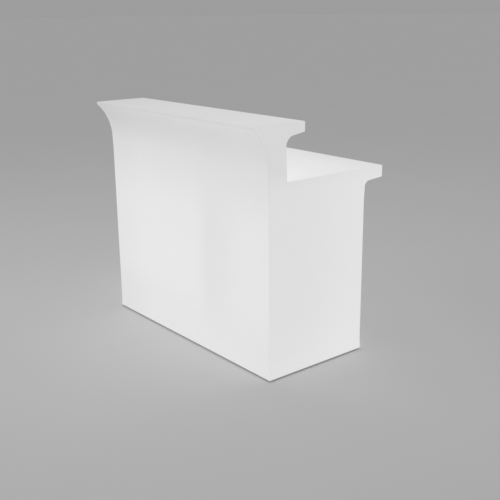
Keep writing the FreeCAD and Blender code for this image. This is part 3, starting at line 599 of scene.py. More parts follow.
def cut_level(height):
    """Cut the whole open piece at a height, which leaves an edge all round."""
    bpy.ops.mesh.select_mode(type="FACE")
    bpy.ops.mesh.select_all(action="SELECT")
    bpy.ops.mesh.bisect(plane_co=z_axis * height, plane_no=z_axis)


def round_rim(side):
    """Inset the face at one end again and again, each time a little further out, along a quarter circle."""
    pick("faces", lambda face: face.normal.dot(x_axis * side) > nearly_one)
    angles = [quarter_turn * step / rim_steps for step in range(rim_steps + 1)]
    for here, there in zip(angles, angles[1:]):
        bpy.ops.mesh.inset(thickness=end_round * (math.cos(here) - math.cos(there)),
                           depth=end_round * (math.sin(there) - math.sin(here)))


shell = draw_section("counter_shell", end_round - half_length, corners)
pull(x_axis * 2 * (half_length - end_round))
close_skin()
for row in range(soft_rows + 1):
    for start in (soft_low, soft_rear_high - soft_ease, soft_high - soft_ease):
        cut_level(start + soft_ease * row / soft_rows)
for side in (-1, 1):
    round_rim(side)
start_clean()
print("outer form:", len(shell.data.polygons), "faces")

# %% [markdown]
# ## Softer upright edges
# The upright edges of the body are softer than the other rims. Their rounding is already there, in rows, so
# each of its corners is moved from the small quarter circle to a larger one, which eases back to the small
# one near the floor and under the flare.

# %% Soften the upright edges
soft_round = 0.010


def ease(value, start, end):
    """From 0 at the start to 1 at the end, without a kink."""
    share = min(max((value - start) / (end - start), 0), 1)
    return share * share * (3 - 2 * share)


def soften_upright(piece, face_y, inward, top):
    """Widen the rounding beside one upright face, up to a height. Return how many points moved."""
    inner_x = half_length - end_round
    moved = 0
    for corner in piece.data.vertices:
        place = corner.co
        rise = abs(place.x) - inner_x
        if rise < -tiny or (place.y - face_y) * inward > end_round + tiny or not soft_low < place.z < top:
            continue
        share = ease(place.z, soft_low, soft_low + soft_ease) * ease(place.z, top, top - soft_ease)
        radius = end_round + (soft_round - end_round) * share
        turn = math.asin(min(max(rise / end_round, 0), 1))
        place.x = math.copysign(half_length - radius + radius * math.sin(turn), place.x)
        place.y = face_y + inward * radius * (1 - math.cos(turn))
        moved += 1
    return moved


moved_front = soften_upright(shell, front_y, 1, soft_high)
moved_rear = soften_upright(shell, back_y, -1, soft_rear_high)
print("upright edges rounded to", soft_round, "by moving", moved_front, "and", moved_rear, "points")

# %% [markdown]
# ## The hollow and the bay's walls
# The moulding is a skin with a wall of the same thickness all over. The bay on the bartender's side is part
# of the same skin, pushed in from the face. First the hollow is cut out, drawn like the outside but one wall
# further in. Then a block is added that carries the bay's walls, and the bay itself is cut later.

# %% Hollow the shell out
def inner_view(corners, gap):
    """The same corners a gap inside the outline. Outer corners get tighter and inner ones rounder."""
    moved = []
    for spot, (y, z, radius) in enumerate(corners):
        here = Vector((0, y, z))
        back = (Vector((0, *corners[spot - 1][:2])) - here).normalized()
        ahead = (Vector((0, *corners[(spot + 1) % len(corners)][:2])) - here).normalized()
        reach = gap / math.sin(back.angle(ahead) / 2)
        inward = 1 if ahead.cross(back).x < 0 else -1
        place = here + (back + ahead).normalized() * reach * inward
        moved.append((place.y, place.z, max(radius - gap * inward, gap / 10)))
    return moved


hollow = draw_section("hollow", wall - half_length, inner_view(corners, wall))
pull(x_axis * 2 * (half_length - wall))
close_skin()
start_clean()
combine(shell, hollow, "DIFFERENCE")
print("hollow shell:", len(shell.data.polygons), "faces")

# %% Add a block with the bay's walls
bay_floor = 0.110
bay_roof = 0.690
bay_reach = half_length - 0.100
bay_back = back_y - 0.320
bay_round = 0.030
bay_round_segments = 8
overrun = 0.020
cut_over = 0.001


def rounded_bay(name, x_reach, y_low, y_high, z_low, z_high, radius):
    """A block across the counter with its four edges along Y rounded."""
    piece = new_block(name, (-x_reach, y_low, z_low), (x_reach, y_high, z_high))
    bevel_edges(piece, lambda edge: runs_along(edge, y_axis), radius, bay_round_segments)
    return piece


combine(shell, rounded_bay("bay_walls", bay_reach + wall, bay_back - wall, back_y - wall / 2,
                           bay_floor - wall, bay_roof + wall, bay_round + wall), "UNION")
print("with the bay's walls:", len(shell.data.polygons), "faces")

# %% [markdown]
# ## Bosses
# The shell also carries bosses, which are thick posts for brass inserts: four over the feet, ten behind the
# edge of the hatch, and three behind each rail of the shelf. They only show from below, as round recesses
# that the feet sit in. Each one is turned at its place, which is read from the CAD nodes that it holds.

# %% Add the bosses over the feet
foot_places = {}
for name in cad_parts:
    if name.startswith("foot_pad_"):
        low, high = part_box(name)
        foot_places[name.removeprefix("foot_pad_")] = Vector(((low.x + high.x) / 2, (low.y + high.y) / 2, 0))

pad_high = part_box("foot_pad_front_left")[1].z
pad_radius = 0.028
pad_clearance = 0.002
cup_radius = pad_radius + pad_clearance + wall
cup_low = shell_low.z + cut_over
cup_high = pad_high + wall
stud_reach = 0.036
stud_end_clearance = 0.004
bore_top = pad_high + stud_reach + stud_end_clearance
boss_radius = 0.017
boss_top = bore_top + wall
foot_sides = 48
cup_profile = [(0, cup_low), (cup_radius, cup_low), (cup_radius, cup_high),
               (boss_radius, cup_high), (boss_radius, boss_top), (0, boss_top)]
cups = [turn_piece("foot_boss", place, z_axis, cup_profile, foot_sides) for place in foot_places.values()]
combine(shell, join(cups), "UNION")
print("feet at", {name: tuple(round(c, 3) for c in place) for name, place in foot_places.items()})


# %% Find the seats of the hatch's and the rails' screws
def spread(low, high, count):
    """Evenly spaced places from one limit to the other."""
    return [low + (high - low) * step / (count - 1) for step in range(count)]


hatch_low, hatch_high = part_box("light_hatch")
hatch_overlap = 0.030
hatch_screw_columns = 4
screws_on_a_rail = 3
seat_reach = hatch_high.x - hatch_overlap / 2
seat_low = hatch_low.z + hatch_overlap / 2
seat_high = hatch_high.z - hatch_overlap / 2
hatch_seats = [Vector((x, bay_back, z)) for x in spread(-seat_reach, seat_reach, hatch_screw_columns)
               for z in (seat_low, seat_high)]
hatch_seats += [Vector((x, bay_back, (seat_low + seat_high) / 2)) for x in (-seat_reach, seat_reach)]
insert_low, insert_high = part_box("rail_inserts")
insert_radius = (insert_high.z - insert_low.z) / 2
rail_seats = [Vector((side * bay_reach, y, insert_low.z + insert_radius)) for side in (-1, 1)
              for y in spread(insert_low.y + insert_radius, insert_high.y - insert_radius, screws_on_a_rail)]
print("seats of screws:", len(hatch_seats), "round the hatch,", len(rail_seats), "on the rails")

# %% Add the bosses behind those seats
hatch_insert_length = 0.012
rail_insert_length = 0.010
boss_wall = 0.005
boss_floor = 0.004
insert_sides = 24


def insert_rods(radius, start, extra):
    """A rod at each insert, from a start in front of its seat to an extra length behind the insert."""
    into_shell = [(place, y_axis, hatch_insert_length) for place in hatch_seats]
    into_shell += [(place, x_axis * math.copysign(1, -place.x), rail_insert_length) for place in rail_seats]
    rods = []
    for place, out, length in into_shell:
        end = -length - extra
        rods.append(turn_piece("rod", place, out, [(0, start), (radius, start), (radius, end), (0, end)],
                               insert_sides))
    return rods


combine(shell, join(insert_rods(insert_radius + boss_wall, -wall / 2, boss_floor)), "UNION")
print("with bosses:", len(shell.data.polygons), "faces")

# %% [markdown]
# ## Openings
# All that is cut through the skin is cut in two goes. The bay comes first, because it opens the face. Then
# come the small ones together: the recesses and bores of the feet, the bores of the inserts, the opening
# behind the hatch, and the hole that let the air out of the mould.

# %% Cut the bay
combine(shell, rounded_bay("bay", bay_reach, bay_back, back_y + overrun, bay_floor, bay_roof, bay_round),
        "DIFFERENCE")
print("with the bay:", len(shell.data.polygons), "faces")

# %% Cut the recesses, bores and holes
clearance = 0.00005
recess_radius = pad_radius + pad_clearance
foot_insert_radius = 0.008 + clearance
foot_insert_top = pad_high + 0.026
stud_bore_radius = 0.006
hatch_opening_round = 0.012
vent_radius = 0.0125
vent_low, vent_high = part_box("vent_plug")
vent_place = Vector(((vent_low.x + vent_high.x) / 2, back_y, (vent_low.z + vent_high.z) / 2))

foot_hollow = [(0, -overrun), (recess_radius, -overrun), (recess_radius, pad_high),
               (foot_insert_radius, pad_high), (foot_insert_radius, foot_insert_top),
               (stud_bore_radius, foot_insert_top), (stud_bore_radius, bore_top), (0, bore_top)]
tools = [turn_piece("foot_hollow", place, z_axis, foot_hollow, foot_sides) for place in foot_places.values()]
tools += insert_rods(insert_radius + clearance, cut_over, 0)
tools.append(rounded_bay("hatch_opening", hatch_high.x - hatch_overlap, bay_back - wall - overrun,
                         bay_back + cut_over, hatch_low.z + hatch_overlap, hatch_high.z - hatch_overlap,
                         hatch_opening_round))
tools.append(turn_piece("vent_hole", vent_place, y_axis, rod_profile(vent_radius, overrun), foot_sides))
combine(shell, join(tools), "DIFFERENCE")
print("with openings:", len(shell.data.polygons), "faces")

# %% Ease the bay's mouth
mouth_round = 0.003
mouth_segments = 4


def at_bay_mouth(edge):
    """Whether an edge lies in the bartender's face, round the bay."""
    return all(abs(corner.co.y - back_y) < tiny and abs(corner.co.x) < bay_reach + tiny
               and bay_floor - tiny < corner.co.z < bay_roof + tiny for corner in edge.verts)


mouth_edges = bevel_edges(shell, at_bay_mouth, mouth_round, mouth_segments)
print("mouth edges rounded:", mouth_edges, "shell:", len(shell.data.polygons), "faces")

# %% [markdown]
# ## The glowing plastic
# Rotationally moulded polyethylene is satin and a little wavy, with the fine grain of the mould. Lit from
# inside it glows almost evenly: a touch brighter in front of the lamps, and dimmer in the thin nose, where
# little light gets to. The glow is an emission whose level is worked out from the place on the counter.
# Under it lies a white plastic like any other, with a few scuffs along the foot.

# %% Work out the glow at each place
near_skin = 0.001
skin_fade = 0.004


def within(place, low, high):
    """1 where a coordinate lies between two surfaces, and 0 a few millimetres beyond them."""
    return (place.rise(low - skin_fade, low - near_skin)
            * (1 - place.rise(high + near_skin, high + skin_fade)))


def glow_of_the_long_faces(x, y, z):
    """The glow of all that runs along the counter: dimmed step by step away from the lamps."""
    full_glow = 0.522
    over_lamps = z.rise(0.60, 1.00)
    under_lamps = 1 - z.rise(0.08, 0.35)
    left_of_lamps = 1 - x.rise(-0.62, -0.25)
    right_of_lamps = x.rise(0.08, 0.20) * (1 - 0.8 * x.rise(0.20, 0.50))
    right_shadow = right_of_lamps * (1 - under_lamps) * (1 - 0.8 * z.rise(0.60, 0.85))
    nose = z.rise(0.89, 1.07)
    nose_right = nose * x.rise(-0.4, 0.62)
    bar_top = z.rise(bar_height - 0.014, bar_height - 0.006)
    worktop_start = front_y + riser_foot_depth
    worktop = (y.rise(worktop_start - 0.006, worktop_start + 0.004)
               * z.rise(worktop_height - skin_fade, worktop_height - near_skin)
               * (1 - z.rise(worktop_height + near_skin, worktop_height + 2 * skin_fade)))
    return (full_glow - 0.085 * over_lamps - 0.043 * under_lamps - 0.03 * left_of_lamps
            - 0.045 * right_shadow - 0.095 * nose + 0.045 * nose_right + 0.012 * bar_top
            + (0.025 - 0.045 * y.rise(0.15, 0.37)) * worktop)


def glow_of_the_ends(y, z):
    """The glow of the two end faces: brighter towards the bartender, dimmer at the top."""
    return 0.492 + 0.035 * y.rise(-0.2, 0.24) - 0.045 * z.rise(0.80, 0.94)


def glow_of_the_shell(x, y, z):
    """The long faces and the ends put together, with dimmer rims, bay and underside."""
    at_end = abs(x).rise(half_length - 0.006, half_length - 0.0005)
    rim = 4 * at_end * (1 - at_end) * z.rise(0.6, 1.0)
    bay = (within(x, -bay_reach, bay_reach) * within(z, bay_floor, bay_roof)
           * y.rise(bay_back - 0.003, bay_back - near_skin) * (1 - y.rise(back_y - 0.060, back_y - 0.002)))
    underside = 1 - z.rise(shell_low.z + 0.0005, shell_low.z + 0.005)
    long_faces = glow_of_the_long_faces(x, y, z)
    outside = long_faces + (glow_of_the_ends(y, z) - long_faces) * at_end - 0.035 * rim
    return outside, (1 - 0.42 * bay) * (1 - 0.85 * underside)


# %% The finish of the shell
def shell_plastic():
    """Milky plastic, lit from inside."""
    finish = Finish("shell_plastic", Emission_Strength=1.0, IOR=1.5)
    x, y, z = finish.part("X"), finish.part("Y"), finish.part("Z")
    cloud = finish.noise(0.22, 3)
    waves = finish.noise(0.06, 2)
    grain = finish.noise(0.0035, 3)
    outside, dimming = glow_of_the_shell(x, y, z)
    glow = (outside + 0.012 * (cloud - 0.5)) * dimming
    finish.set("Emission Color", finish.blend(glow, black, white))
    scuffs = finish.noise(0.012, 4, (3, 3, 0.5)).rise(0.60, 0.75) * (1 - z.rise(0.01, 0.10))
    finish.set("Base Color", finish.blend(scuffs * 0.25, grey(0.60), grey(0.45, 0.02)))
    finish.set("Roughness", 0.50 + 0.10 * (waves - 0.5) + 0.06 * (grain - 0.5) + 0.15 * scuffs)
    finish.relief(waves * 0.75 + grain * 0.25, 0.0006)
    return finish.material


# %% [markdown]
# ## Moulded plastics and rubber
# Injection-moulded parts carry the texture that was etched into their steel mould: a fine even grain, the
# same on every face. Rubber is duller, and dust stays in its pores. One recipe makes them all, with its own
# colour, grain and gloss for each part. Where a piece comes straight from the CAD model its edges are sharp,
# so the finish also rounds the normal there, as a real mould does. Along those edges it paints a highlight
# in a lighter colour, and makes the surface a little smoother.

# %% Plastic and rubber
def moulded(name, colour, roughness, grain_size, grain_depth, soft_edge=0.0003, dust=0.0, glow=0.0):
    """Grained plastic or rubber of one colour, which glows a little where lamps shine through it."""
    finish = Finish(name, IOR=1.48, Emission_Strength=glow)
    grain = finish.noise(grain_size, 2)
    flow = finish.noise(0.02, 3)
    edges = finish.edge_mask(soft_edge * 2) if soft_edge else 0
    tone = finish.blend(flow, toned(colour, 0.86), colour)
    # painted highlight: the colour is made lighter along the edges, where a rounded edge would catch light
    highlit_edge_tone = finish.blend(edges * 0.35, tone, toned(colour, 1.25, 0.02))
    powder = finish.noise(0.004, 4).rise(0.55, 0.75) * dust
    finish.set("Base Color", finish.blend(powder, highlit_edge_tone, grey(0.32, 0.04)))
    finish.set("Roughness", roughness + 0.12 * (flow - 0.5) - 0.10 * edges + 0.2 * powder)
    finish.relief(grain, grain_depth, soft_edge)
    if glow:
        finish.set("Emission Color", finish.blend(flow, grey(0.9), grey(1.0)))
    return finish.material


# %% [markdown]
# ## Bare metal
# Drawn and extruded aluminium has fine lines along the way it was pulled through its die, and a turned pin
# has them along its length. Noise that is stretched a hundredfold along one axis gives those lines, and a
# metal without them gets the same noise unstretched. Rubbed edges are brighter and smoother than the rest.

# %% Metal with lines
def metal(name, colour, roughness, stretch, line_size=0.0005):
    """Metal with fine lines along one axis, brighter and smoother where its edges are rubbed."""
    line_depth = 0.00001
    soft_edge = 0.0002
    finish = Finish(name, Metallic=1.0)
    lines = finish.noise(line_size, 3, stretch)
    tarnish = finish.noise(0.015, 4)
    edges = finish.edge_mask(soft_edge * 3)
    tone = finish.blend(tarnish * 0.6 + lines * 0.4, toned(colour, 0.78), colour)
    finish.set("Base Color", finish.blend(edges * 0.5, tone, toned(colour, 1.2)))
    finish.set("Roughness", roughness + 0.16 * (lines - 0.5) + 0.12 * (tarnish - 0.5) - 0.08 * edges)
    finish.relief(lines, line_depth, soft_edge)
    return finish.material


# %% [markdown]
# ## The hatch's powder coat
# The hatch is sheet aluminium with a white powder coat, which is baked on and keeps a soft orange peel.
# Hands leave faint smudges on it, and along its edges the coat is chipped down to the bare metal here and
# there. So the same mask of chips turns the colour grey and the surface metallic.

# %% White powder coat
def hatch_paint():
    """White powder coat on sheet aluminium, rubbed a little at the edges and smudged by hands."""
    finish = Finish("hatch_paint", IOR=1.5)
    peel = finish.noise(0.0022, 2)
    hands = finish.noise(0.09, 4).rise(0.52, 0.72)
    edges = finish.edge_mask(0.0008)
    chips = edges * finish.noise(0.004, 4).rise(0.56, 0.66)
    coat = finish.blend(finish.noise(0.3, 3), grey(0.80, 0.004), grey(0.85, 0.004))
    smudged = finish.blend(hands * 0.10, coat, grey(0.52, 0.03))
    finish.set("Base Color", finish.blend(chips, smudged, grey(0.45)))
    finish.set("Metallic", chips)
    finish.set("Roughness", 0.33 + 0.10 * (peel - 0.5) + 0.12 * hands)
    finish.relief(peel, 0.00006, 0.0004)
    return finish.material


# %% [markdown]
# ## Threads and knurls
# The foot studs are the only screws whose threads show, when the feet are screwed out. A thread is a
# helix: how far a point is up the axis, in pitches, plus how far round it is, in turns, goes through one
# whole number at each crest. Folding that sum up and down gives the thread's flanks. A knurl is two such
# patterns of straight lines that cross.

# %% Zinc-plated studs with a thread
foot_low, foot_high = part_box("foot_stud_front_right")
rear_low, rear_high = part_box("foot_stud_rear_right")
foot_x = (foot_low.x + foot_high.x) / 2
front_foot_y = (foot_low.y + foot_high.y) / 2
rear_foot_y = (rear_low.y + rear_high.y) / 2
stud_head_top = 0.009
thread_pitch = 0.0015


def zinc_steel():
    """Zinc-plated steel. Over its head, each stud has a thread that winds round its own axis."""
    finish = Finish("zinc_steel", Metallic=1.0)
    x, y, z = finish.part("X"), finish.part("Y"), finish.part("Z")
    rear = y.rise(-0.01, 0.01)
    across = abs(x) - foot_x
    along = y - (front_foot_y * (1 - rear) + rear_foot_y * rear)
    angle = along.math("ARCTAN2", along, across) / math.tau
    thread = (z / thread_pitch + angle).zigzag() * z.rise(stud_head_top, stud_head_top + 0.001)
    mottle = finish.noise(0.004, 4)
    finish.set("Base Color", finish.blend(mottle, (0.50, 0.53, 0.56, 1), (0.68, 0.69, 0.70, 1)))
    finish.set("Roughness", 0.30 + 0.18 * (mottle - 0.5) + 0.08 * (1 - thread))
    finish.relief(thread + 0.02 * mottle, 0.0008, 0.0003)
    return finish.material


# %% Brass inserts with a knurl
def brass():
    """Brass insert with the cross-cut knurl that locks it in the plastic."""
    knurl_spacing = 0.001
    finish = Finish("brass", Metallic=1.0)
    x, y, z = finish.part("X"), finish.part("Y"), finish.part("Z")
    one_way = ((x + y + z) / knurl_spacing).zigzag()
    other_way = ((x - y - z) / knurl_spacing).zigzag()
    stain = finish.noise(0.003, 3)
    finish.set("Base Color", finish.blend(stain, (0.52, 0.36, 0.13, 1), (0.80, 0.61, 0.28, 1)))
    finish.set("Roughness", 0.28 + 0.2 * (stain - 0.5))
    finish.relief((one_way + other_way) / 2, 0.0003, 0.0002)
    return finish.material


# %% [markdown]
# ## The shelf's board
# The shelf is particle board between two sheets of white laminate. The laminate has a faint pearl texture
# and shows long scuffs from what was pushed over it. The ends were sawn, so the core shows there as flakes
# of wood, between two thin white lines. Small cells, each of its own tone, make the flakes.

# %% Laminate with a sawn core
shelf_low, shelf_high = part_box("bay_shelf")
laminate = 0.0008


def shelf_board():
    """White laminate on top and below, and bare core on the sawn ends and the back."""
    core_half = (shelf_high.z - shelf_low.z) / 2 - laminate
    finish = Finish("shelf_board", IOR=1.5)
    pearl = finish.noise(0.0012, 3)
    scuffs = finish.noise(0.05, 5, (1, 3, 1)).rise(0.60, 0.72)
    from_middle = abs(finish.part("Z") - (shelf_low.z + shelf_high.z) / 2)
    core = 1 - from_middle.rise(core_half - laminate / 2, core_half)
    flakes = finish.cells(420.0, 1.0, "Color")
    flake_tone = finish.node("ShaderNodeSeparateColor", {}, {"Color": flakes}, "Red")
    wood = finish.blend(flake_tone, (0.30, 0.19, 0.10, 1), (0.58, 0.42, 0.25, 1))
    sheet = finish.blend(pearl * 0.5 + scuffs * 0.3, grey(0.86, 0.006), grey(0.78, 0.006))
    finish.set("Base Color", finish.blend(core, sheet, wood))
    finish.set("Roughness", 0.38 + 0.08 * (pearl - 0.5) + 0.16 * scuffs + 0.4 * core)
    finish.relief(pearl * 0.2 + core * flake_tone, 0.0002)
    return finish.material


# %% [markdown]
# ## What lies behind the hatch
# The light kit shows only when somebody takes the hatch off, and it still gets real finishes. The traces of
# a board are the borders between square cells, in a layout of no meaning. The opal cover of a channel is a
# little brighter over each lamp behind it.

# %% Circuit boards
def printed_board(name, mask_colour, trace_colour, glow=0.0):
    """Circuit board: straight traces under a coloured mask. On a lamp board the mask glows."""
    finish = Finish(name, IOR=1.5, Emission_Strength=glow)
    traces = finish.cells(260.0, 0.6, "Distance", "CHEBYCHEV").rise(0.42, 0.46)
    dust = finish.noise(0.006, 4)
    dusty_mask = finish.blend(dust * 0.3, mask_colour, grey(0.4))
    finish.set("Base Color", finish.blend(traces, dusty_mask, trace_colour))
    finish.set("Roughness", 0.32 + 0.25 * dust)
    finish.relief(traces, 0.00004, 0.0002)
    if glow:
        finish.set("Emission Color", finish.blend(traces, grey(1.0, 0.02), grey(0.7, 0.05)))
    return finish.material


# %% Opal cover over the lamps
def diffuser_plastic():
    """Opal cover, lit by the lamps behind it."""
    lamp_spacing = 0.0229
    finish = Finish("diffuser_plastic", Emission_Strength=0.9, IOR=1.49)
    between_lamps = (finish.part("X") / lamp_spacing).zigzag()
    haze = finish.noise(0.01, 3)
    finish.set("Base Color", finish.blend(haze, grey(0.80), grey(0.88)))
    finish.set("Emission Color", finish.blend(between_lamps, grey(1.0, 0.01), grey(0.86, 0.02)))
    finish.set("Roughness", 0.35 + 0.1 * haze)
    finish.relief(haze, 0.00005, 0.0002)
    return finish.material


# %% [markdown]
# ## All the finishes
# Each material slot of the CAD model gets its finish under the slot's own name. The CAD nodes that stay as
# they are take them now, and the new pieces take theirs as they are made. The vent plug has one of its own,
# because the light behind it makes it glow.

# %% Make every finish
plain, along_x, along_y = (1, 1, 1), (100, 1, 1), (1, 100, 1)

finishes = {
    "shell_plastic": shell_plastic(),
    "white_plastic": moulded("white_plastic", grey(0.80, 0.005), 0.42, 0.0006, 0.00003),
    "plug_plastic": moulded("plug_plastic", grey(0.80, 0.005), 0.42, 0.0006, 0.00003, glow=0.22),
    "brass": brass(),
    "hatch_paint": hatch_paint(),
    "seal_rubber": moulded("seal_rubber", grey(0.030), 0.75, 0.0008, 0.00006, dust=0.25),
    "stainless": metal("stainless", (0.60, 0.60, 0.58, 1), 0.28, plain, 0.0008),
    "zinc_steel": zinc_steel(),
    "grey_plastic": moulded("grey_plastic", grey(0.35), 0.5, 0.0006, 0.00003),
    "driver_aluminium": metal("driver_aluminium", (0.50, 0.51, 0.53, 1), 0.38, along_x),
    "circuit_board": printed_board("circuit_board", (0.02, 0.14, 0.05, 1), (0.05, 0.24, 0.09, 1)),
    "black_plastic": moulded("black_plastic", grey(0.022), 0.48, 0.0005, 0.00004, dust=0.05),
    "plated_pins": metal("plated_pins", (0.66, 0.64, 0.60, 1), 0.16, along_y, 0.0003),
    "rocker_plastic": moulded("rocker_plastic", grey(0.020), 0.18, 0.006, 0.00001),
    "fuse_metal": metal("fuse_metal", (0.70, 0.68, 0.63, 1), 0.20, along_y, 0.0003),
    "lead_sheath": moulded("lead_sheath", grey(0.035), 0.55, 0.002, 0.00003, soft_edge=0),
    "shelf_board": shelf_board(),
    "edge_band": moulded("edge_band", grey(0.84, 0.006), 0.35, 0.0010, 0.00002, soft_edge=0),
    "rail_aluminium": metal("rail_aluminium", (0.66, 0.67, 0.68, 1), 0.34, along_y),
    "channel_aluminium": metal("channel_aluminium", (0.68, 0.69, 0.70, 1), 0.36, along_x),
    "led_board": printed_board("led_board", grey(0.80, 0.01), grey(0.72, 0.02), 1.0),
    "diffuser_plastic": diffuser_plastic(),
    "foot_rubber": moulded("foot_rubber", grey(0.028), 0.70, 0.0009, 0.00008, soft_edge=0, dust=0.35),
}
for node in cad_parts.values():
    for slot in node.material_slots:
        slot.material = finishes[slot.material.name.split(".")[0]]
print("finishes made:", len(finishes))

# %% [markdown]
# ## Handing a piece over
# Every new piece ends the same way: it is smoothed, takes its finish, rides on a CAD body and hides the CAD
# nodes that it stands for. The shell is the first.

# %% Finish a piece
def dress(piece, body, finish):
    """Smooth a piece, give it one finish and let it ride on its body."""
    smooth_by_angle(piece)
    piece.data.materials.clear()
    piece.data.materials.append(finishes[finish])
    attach(piece, body)
    print(piece.name, "faces", len(piece.data.polygons))


def finish_piece(piece, body, slot, node, finish=None):
    """Dress a piece, with the finish of its slot if no other is given, and let it stand for its CAD node."""
    dress(piece, body, finish or slot)
    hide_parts(node)


finish_piece(shell, "shell", "shell_plastic", "body_shell")

# %% [markdown]
# ## The plug in the vent hole
# While the plastic melts in its closed mould, air has to get out through a small hole. Afterwards a push-in
# plug closes it. A real plug is slightly domed, with a dimple where it was injected, and its sleeve has a
# lead-in chamfer. It is a turned piece.

# %% Turn the vent plug
plug_sides = 64
plug_profile = thousandths((0, 0), (10.5, 0), (10.5, -14), (11.6, -14), (12.2, -12.8), (12.2, 0), (17, 0),
                           (17, 0.7), (16.7, 1.4), (16, 1.9), (14, 2.25), (10, 2.45), (5, 2.5), (3.4, 2.45),
                           (2.8, 2.0), (0, 1.9))
plug = turn_piece("vent_hole_plug", vent_place, y_axis, plug_profile, plug_sides)
finish_piece(plug, "shell", "white_plastic", "vent_plug", finish="plug_plastic")

# %% [markdown]
# ## The feet
# A levelling foot is a rubber pad moulded round the head of its screw. The rim is ribbed, so that fingers
# can turn it while the counter is lifted, and a ring on the underside grips the floor. The pad is turned,
# and then every second face of its rim is pressed in a little. The other three are copies.

# %% Turn a foot pad
pad_profile = thousandths((0, 0.6), (19.5, 0.6), (20.5, 0), (26.3, 0), (27.4, 0.4), (28, 1.4), (28, 10.4),
                          (27.6, 11.5), (26.6, 12), (12, 12), (11.2, 11.3), (5.25, 11.3), (5.25, 9),
                          (9.85, 9), (9.85, 4), (0, 4))
first_foot = foot_places["front_right"]
pad = turn_piece("foot_pad_first", first_foot, z_axis, pad_profile, foot_sides)
print("pad faces", len(pad.data.polygons))

# %% Rib its rim and copy it to the other feet
rib_border = 0.0004
rib_depth = 0.0008


def every_second_rim_face(face):
    """Whether a face is one of every second faces round the rim."""
    place = middle(face) - first_foot
    on_rim = abs(face.normal.z) < 0.1 and place.xy.length > pad_radius - 0.0005
    spot = round(math.atan2(place.y, place.x) / math.tau * foot_sides - 0.5)
    return on_rim and spot % 2 == 0


open_piece(pad)
ribs = pick("faces", every_second_rim_face)
bpy.ops.mesh.inset(thickness=rib_border, depth=-rib_depth, use_individual=True)
start_clean()
print("rim faces pressed in:", ribs)
for name, place in foot_places.items():
    one_pad = copy_moved(pad, place - first_foot)
    one_pad.name = "pad_" + name
    finish_piece(one_pad, "foot_" + name, "foot_rubber", "foot_pad_" + name)
bpy.data.objects.remove(pad)

# %% [markdown]
# ## The shelf in the bay
# The board is a block whose edges at the back of the bay are eased, because a sawn laminate edge would cut
# fingers. On its sawn faces the core is a touch lower than the laminate. The band on the edge towards the
# bartender is a strip of thicker plastic, rounded after it was glued on.

# %% Model the shelf's board
core_depth = laminate / 4
shelf = new_block("shelf_board", shelf_low, shelf_high)
open_piece(shelf)
pick("faces", lambda face: abs(face.normal.x) > nearly_one or face.normal.y < -nearly_one)
bpy.ops.mesh.inset(thickness=laminate, depth=-core_depth, use_individual=True)
bevel_edges(shelf, lambda edge: runs_along(edge, x_axis) and middle(edge).y < shelf_low.y + tiny,
            offset=laminate / 2, segments=2)
finish_piece(shelf, "shelf", "shelf_board", "bay_shelf")

# %% Model its edge band
band_round = 0.0012
band_low, band_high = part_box("shelf_edge_band")
band = new_block("shelf_band", band_low, band_high)
bevel_edges(band, lambda edge: reaches(edge, band_high.y), band_round, segments=4)
finish_piece(band, "shelf", "edge_band", "shelf_edge_band")

# %% [markdown]
# ## Screws
# Round the hatch sit button-head screws, whose low domes leave no corner to catch a sleeve. What hangs
# behind the hatch is held by countersunk screws, flush with its paint, and so are the rails. Every head has
# a hexagon socket. A screw of each kind is turned, its socket is cut with a six-sided rod, and the others
# are copies. A thicker screw has a larger head, so a head's profile is given in shares of its radius.

# %% Turn a screw and copy it to its seats
screw_sides = 32
socket_share = 0.92
socket_length = 1.2
button_head = [(1, 0), (1.84, 0), (1.9, 0.12), (1.84, 0.36), (1.66, 0.64), (1.4, 0.88), (1.16, 1.02),
               (1.04, 1.08), (0.98, 1.1), (0, 1.1)]
sunk_head = [(1, -0.9), (1.84, -0.08), (1.86, -0.04), (1.84, -0.01), (1.8, 0), (0, 0)]


def screw_set(name, seats, out, radius, length, head):
    """Screws of one kind, whose heads look out of their seats."""
    tip = -length / radius
    shares = [(0, tip), (0.8, tip), (1, tip + 0.2)] + head
    first = turn_piece(name, seats[0], out, [(radius * across, radius * along) for across, along in shares],
                       screw_sides)
    head_top = seats[0] + out * radius * head[-1][1]
    start_clean()
    bpy.ops.mesh.primitive_cylinder_add(vertices=6, radius=radius * socket_share,
                                        depth=radius * socket_length, location=head_top,
                                        rotation=out.to_track_quat("Z", "Y").to_euler())
    combine(first, settle(bpy.context.object), "DIFFERENCE")
    return join([first] + [copy_moved(first, seat - seats[0]) for seat in seats[1:]])


# %% Screw the hatch on
hatch_screw_radius = 0.0025
hatch_screw_length = hatch_high.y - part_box("hatch_screws")[0].y
hatch_screw_seats = [Vector((seat.x, hatch_high.y, seat.z)) for seat in hatch_seats]
hatch_screws = screw_set("hatch_screw_set", hatch_screw_seats, y_axis,
                         hatch_screw_radius, hatch_screw_length, button_head)
finish_piece(hatch_screws, "shell", "stainless", "hatch_screws")

# %% Screw the light kit to the hatch
kit_screw_radius = 0.002
kit_screw_length = hatch_high.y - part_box("kit_screws")[0].y
clip_length = 0.018
screw_ear = 0.012
driver_ear_length = 0.014
driver_width = 0.050
clip_low, clip_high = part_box("channel_clips")
caps_low, caps_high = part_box("driver_caps")
saddle_low, saddle_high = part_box("lead_saddle")
lowest_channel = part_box("led_channel_lower")[0].z

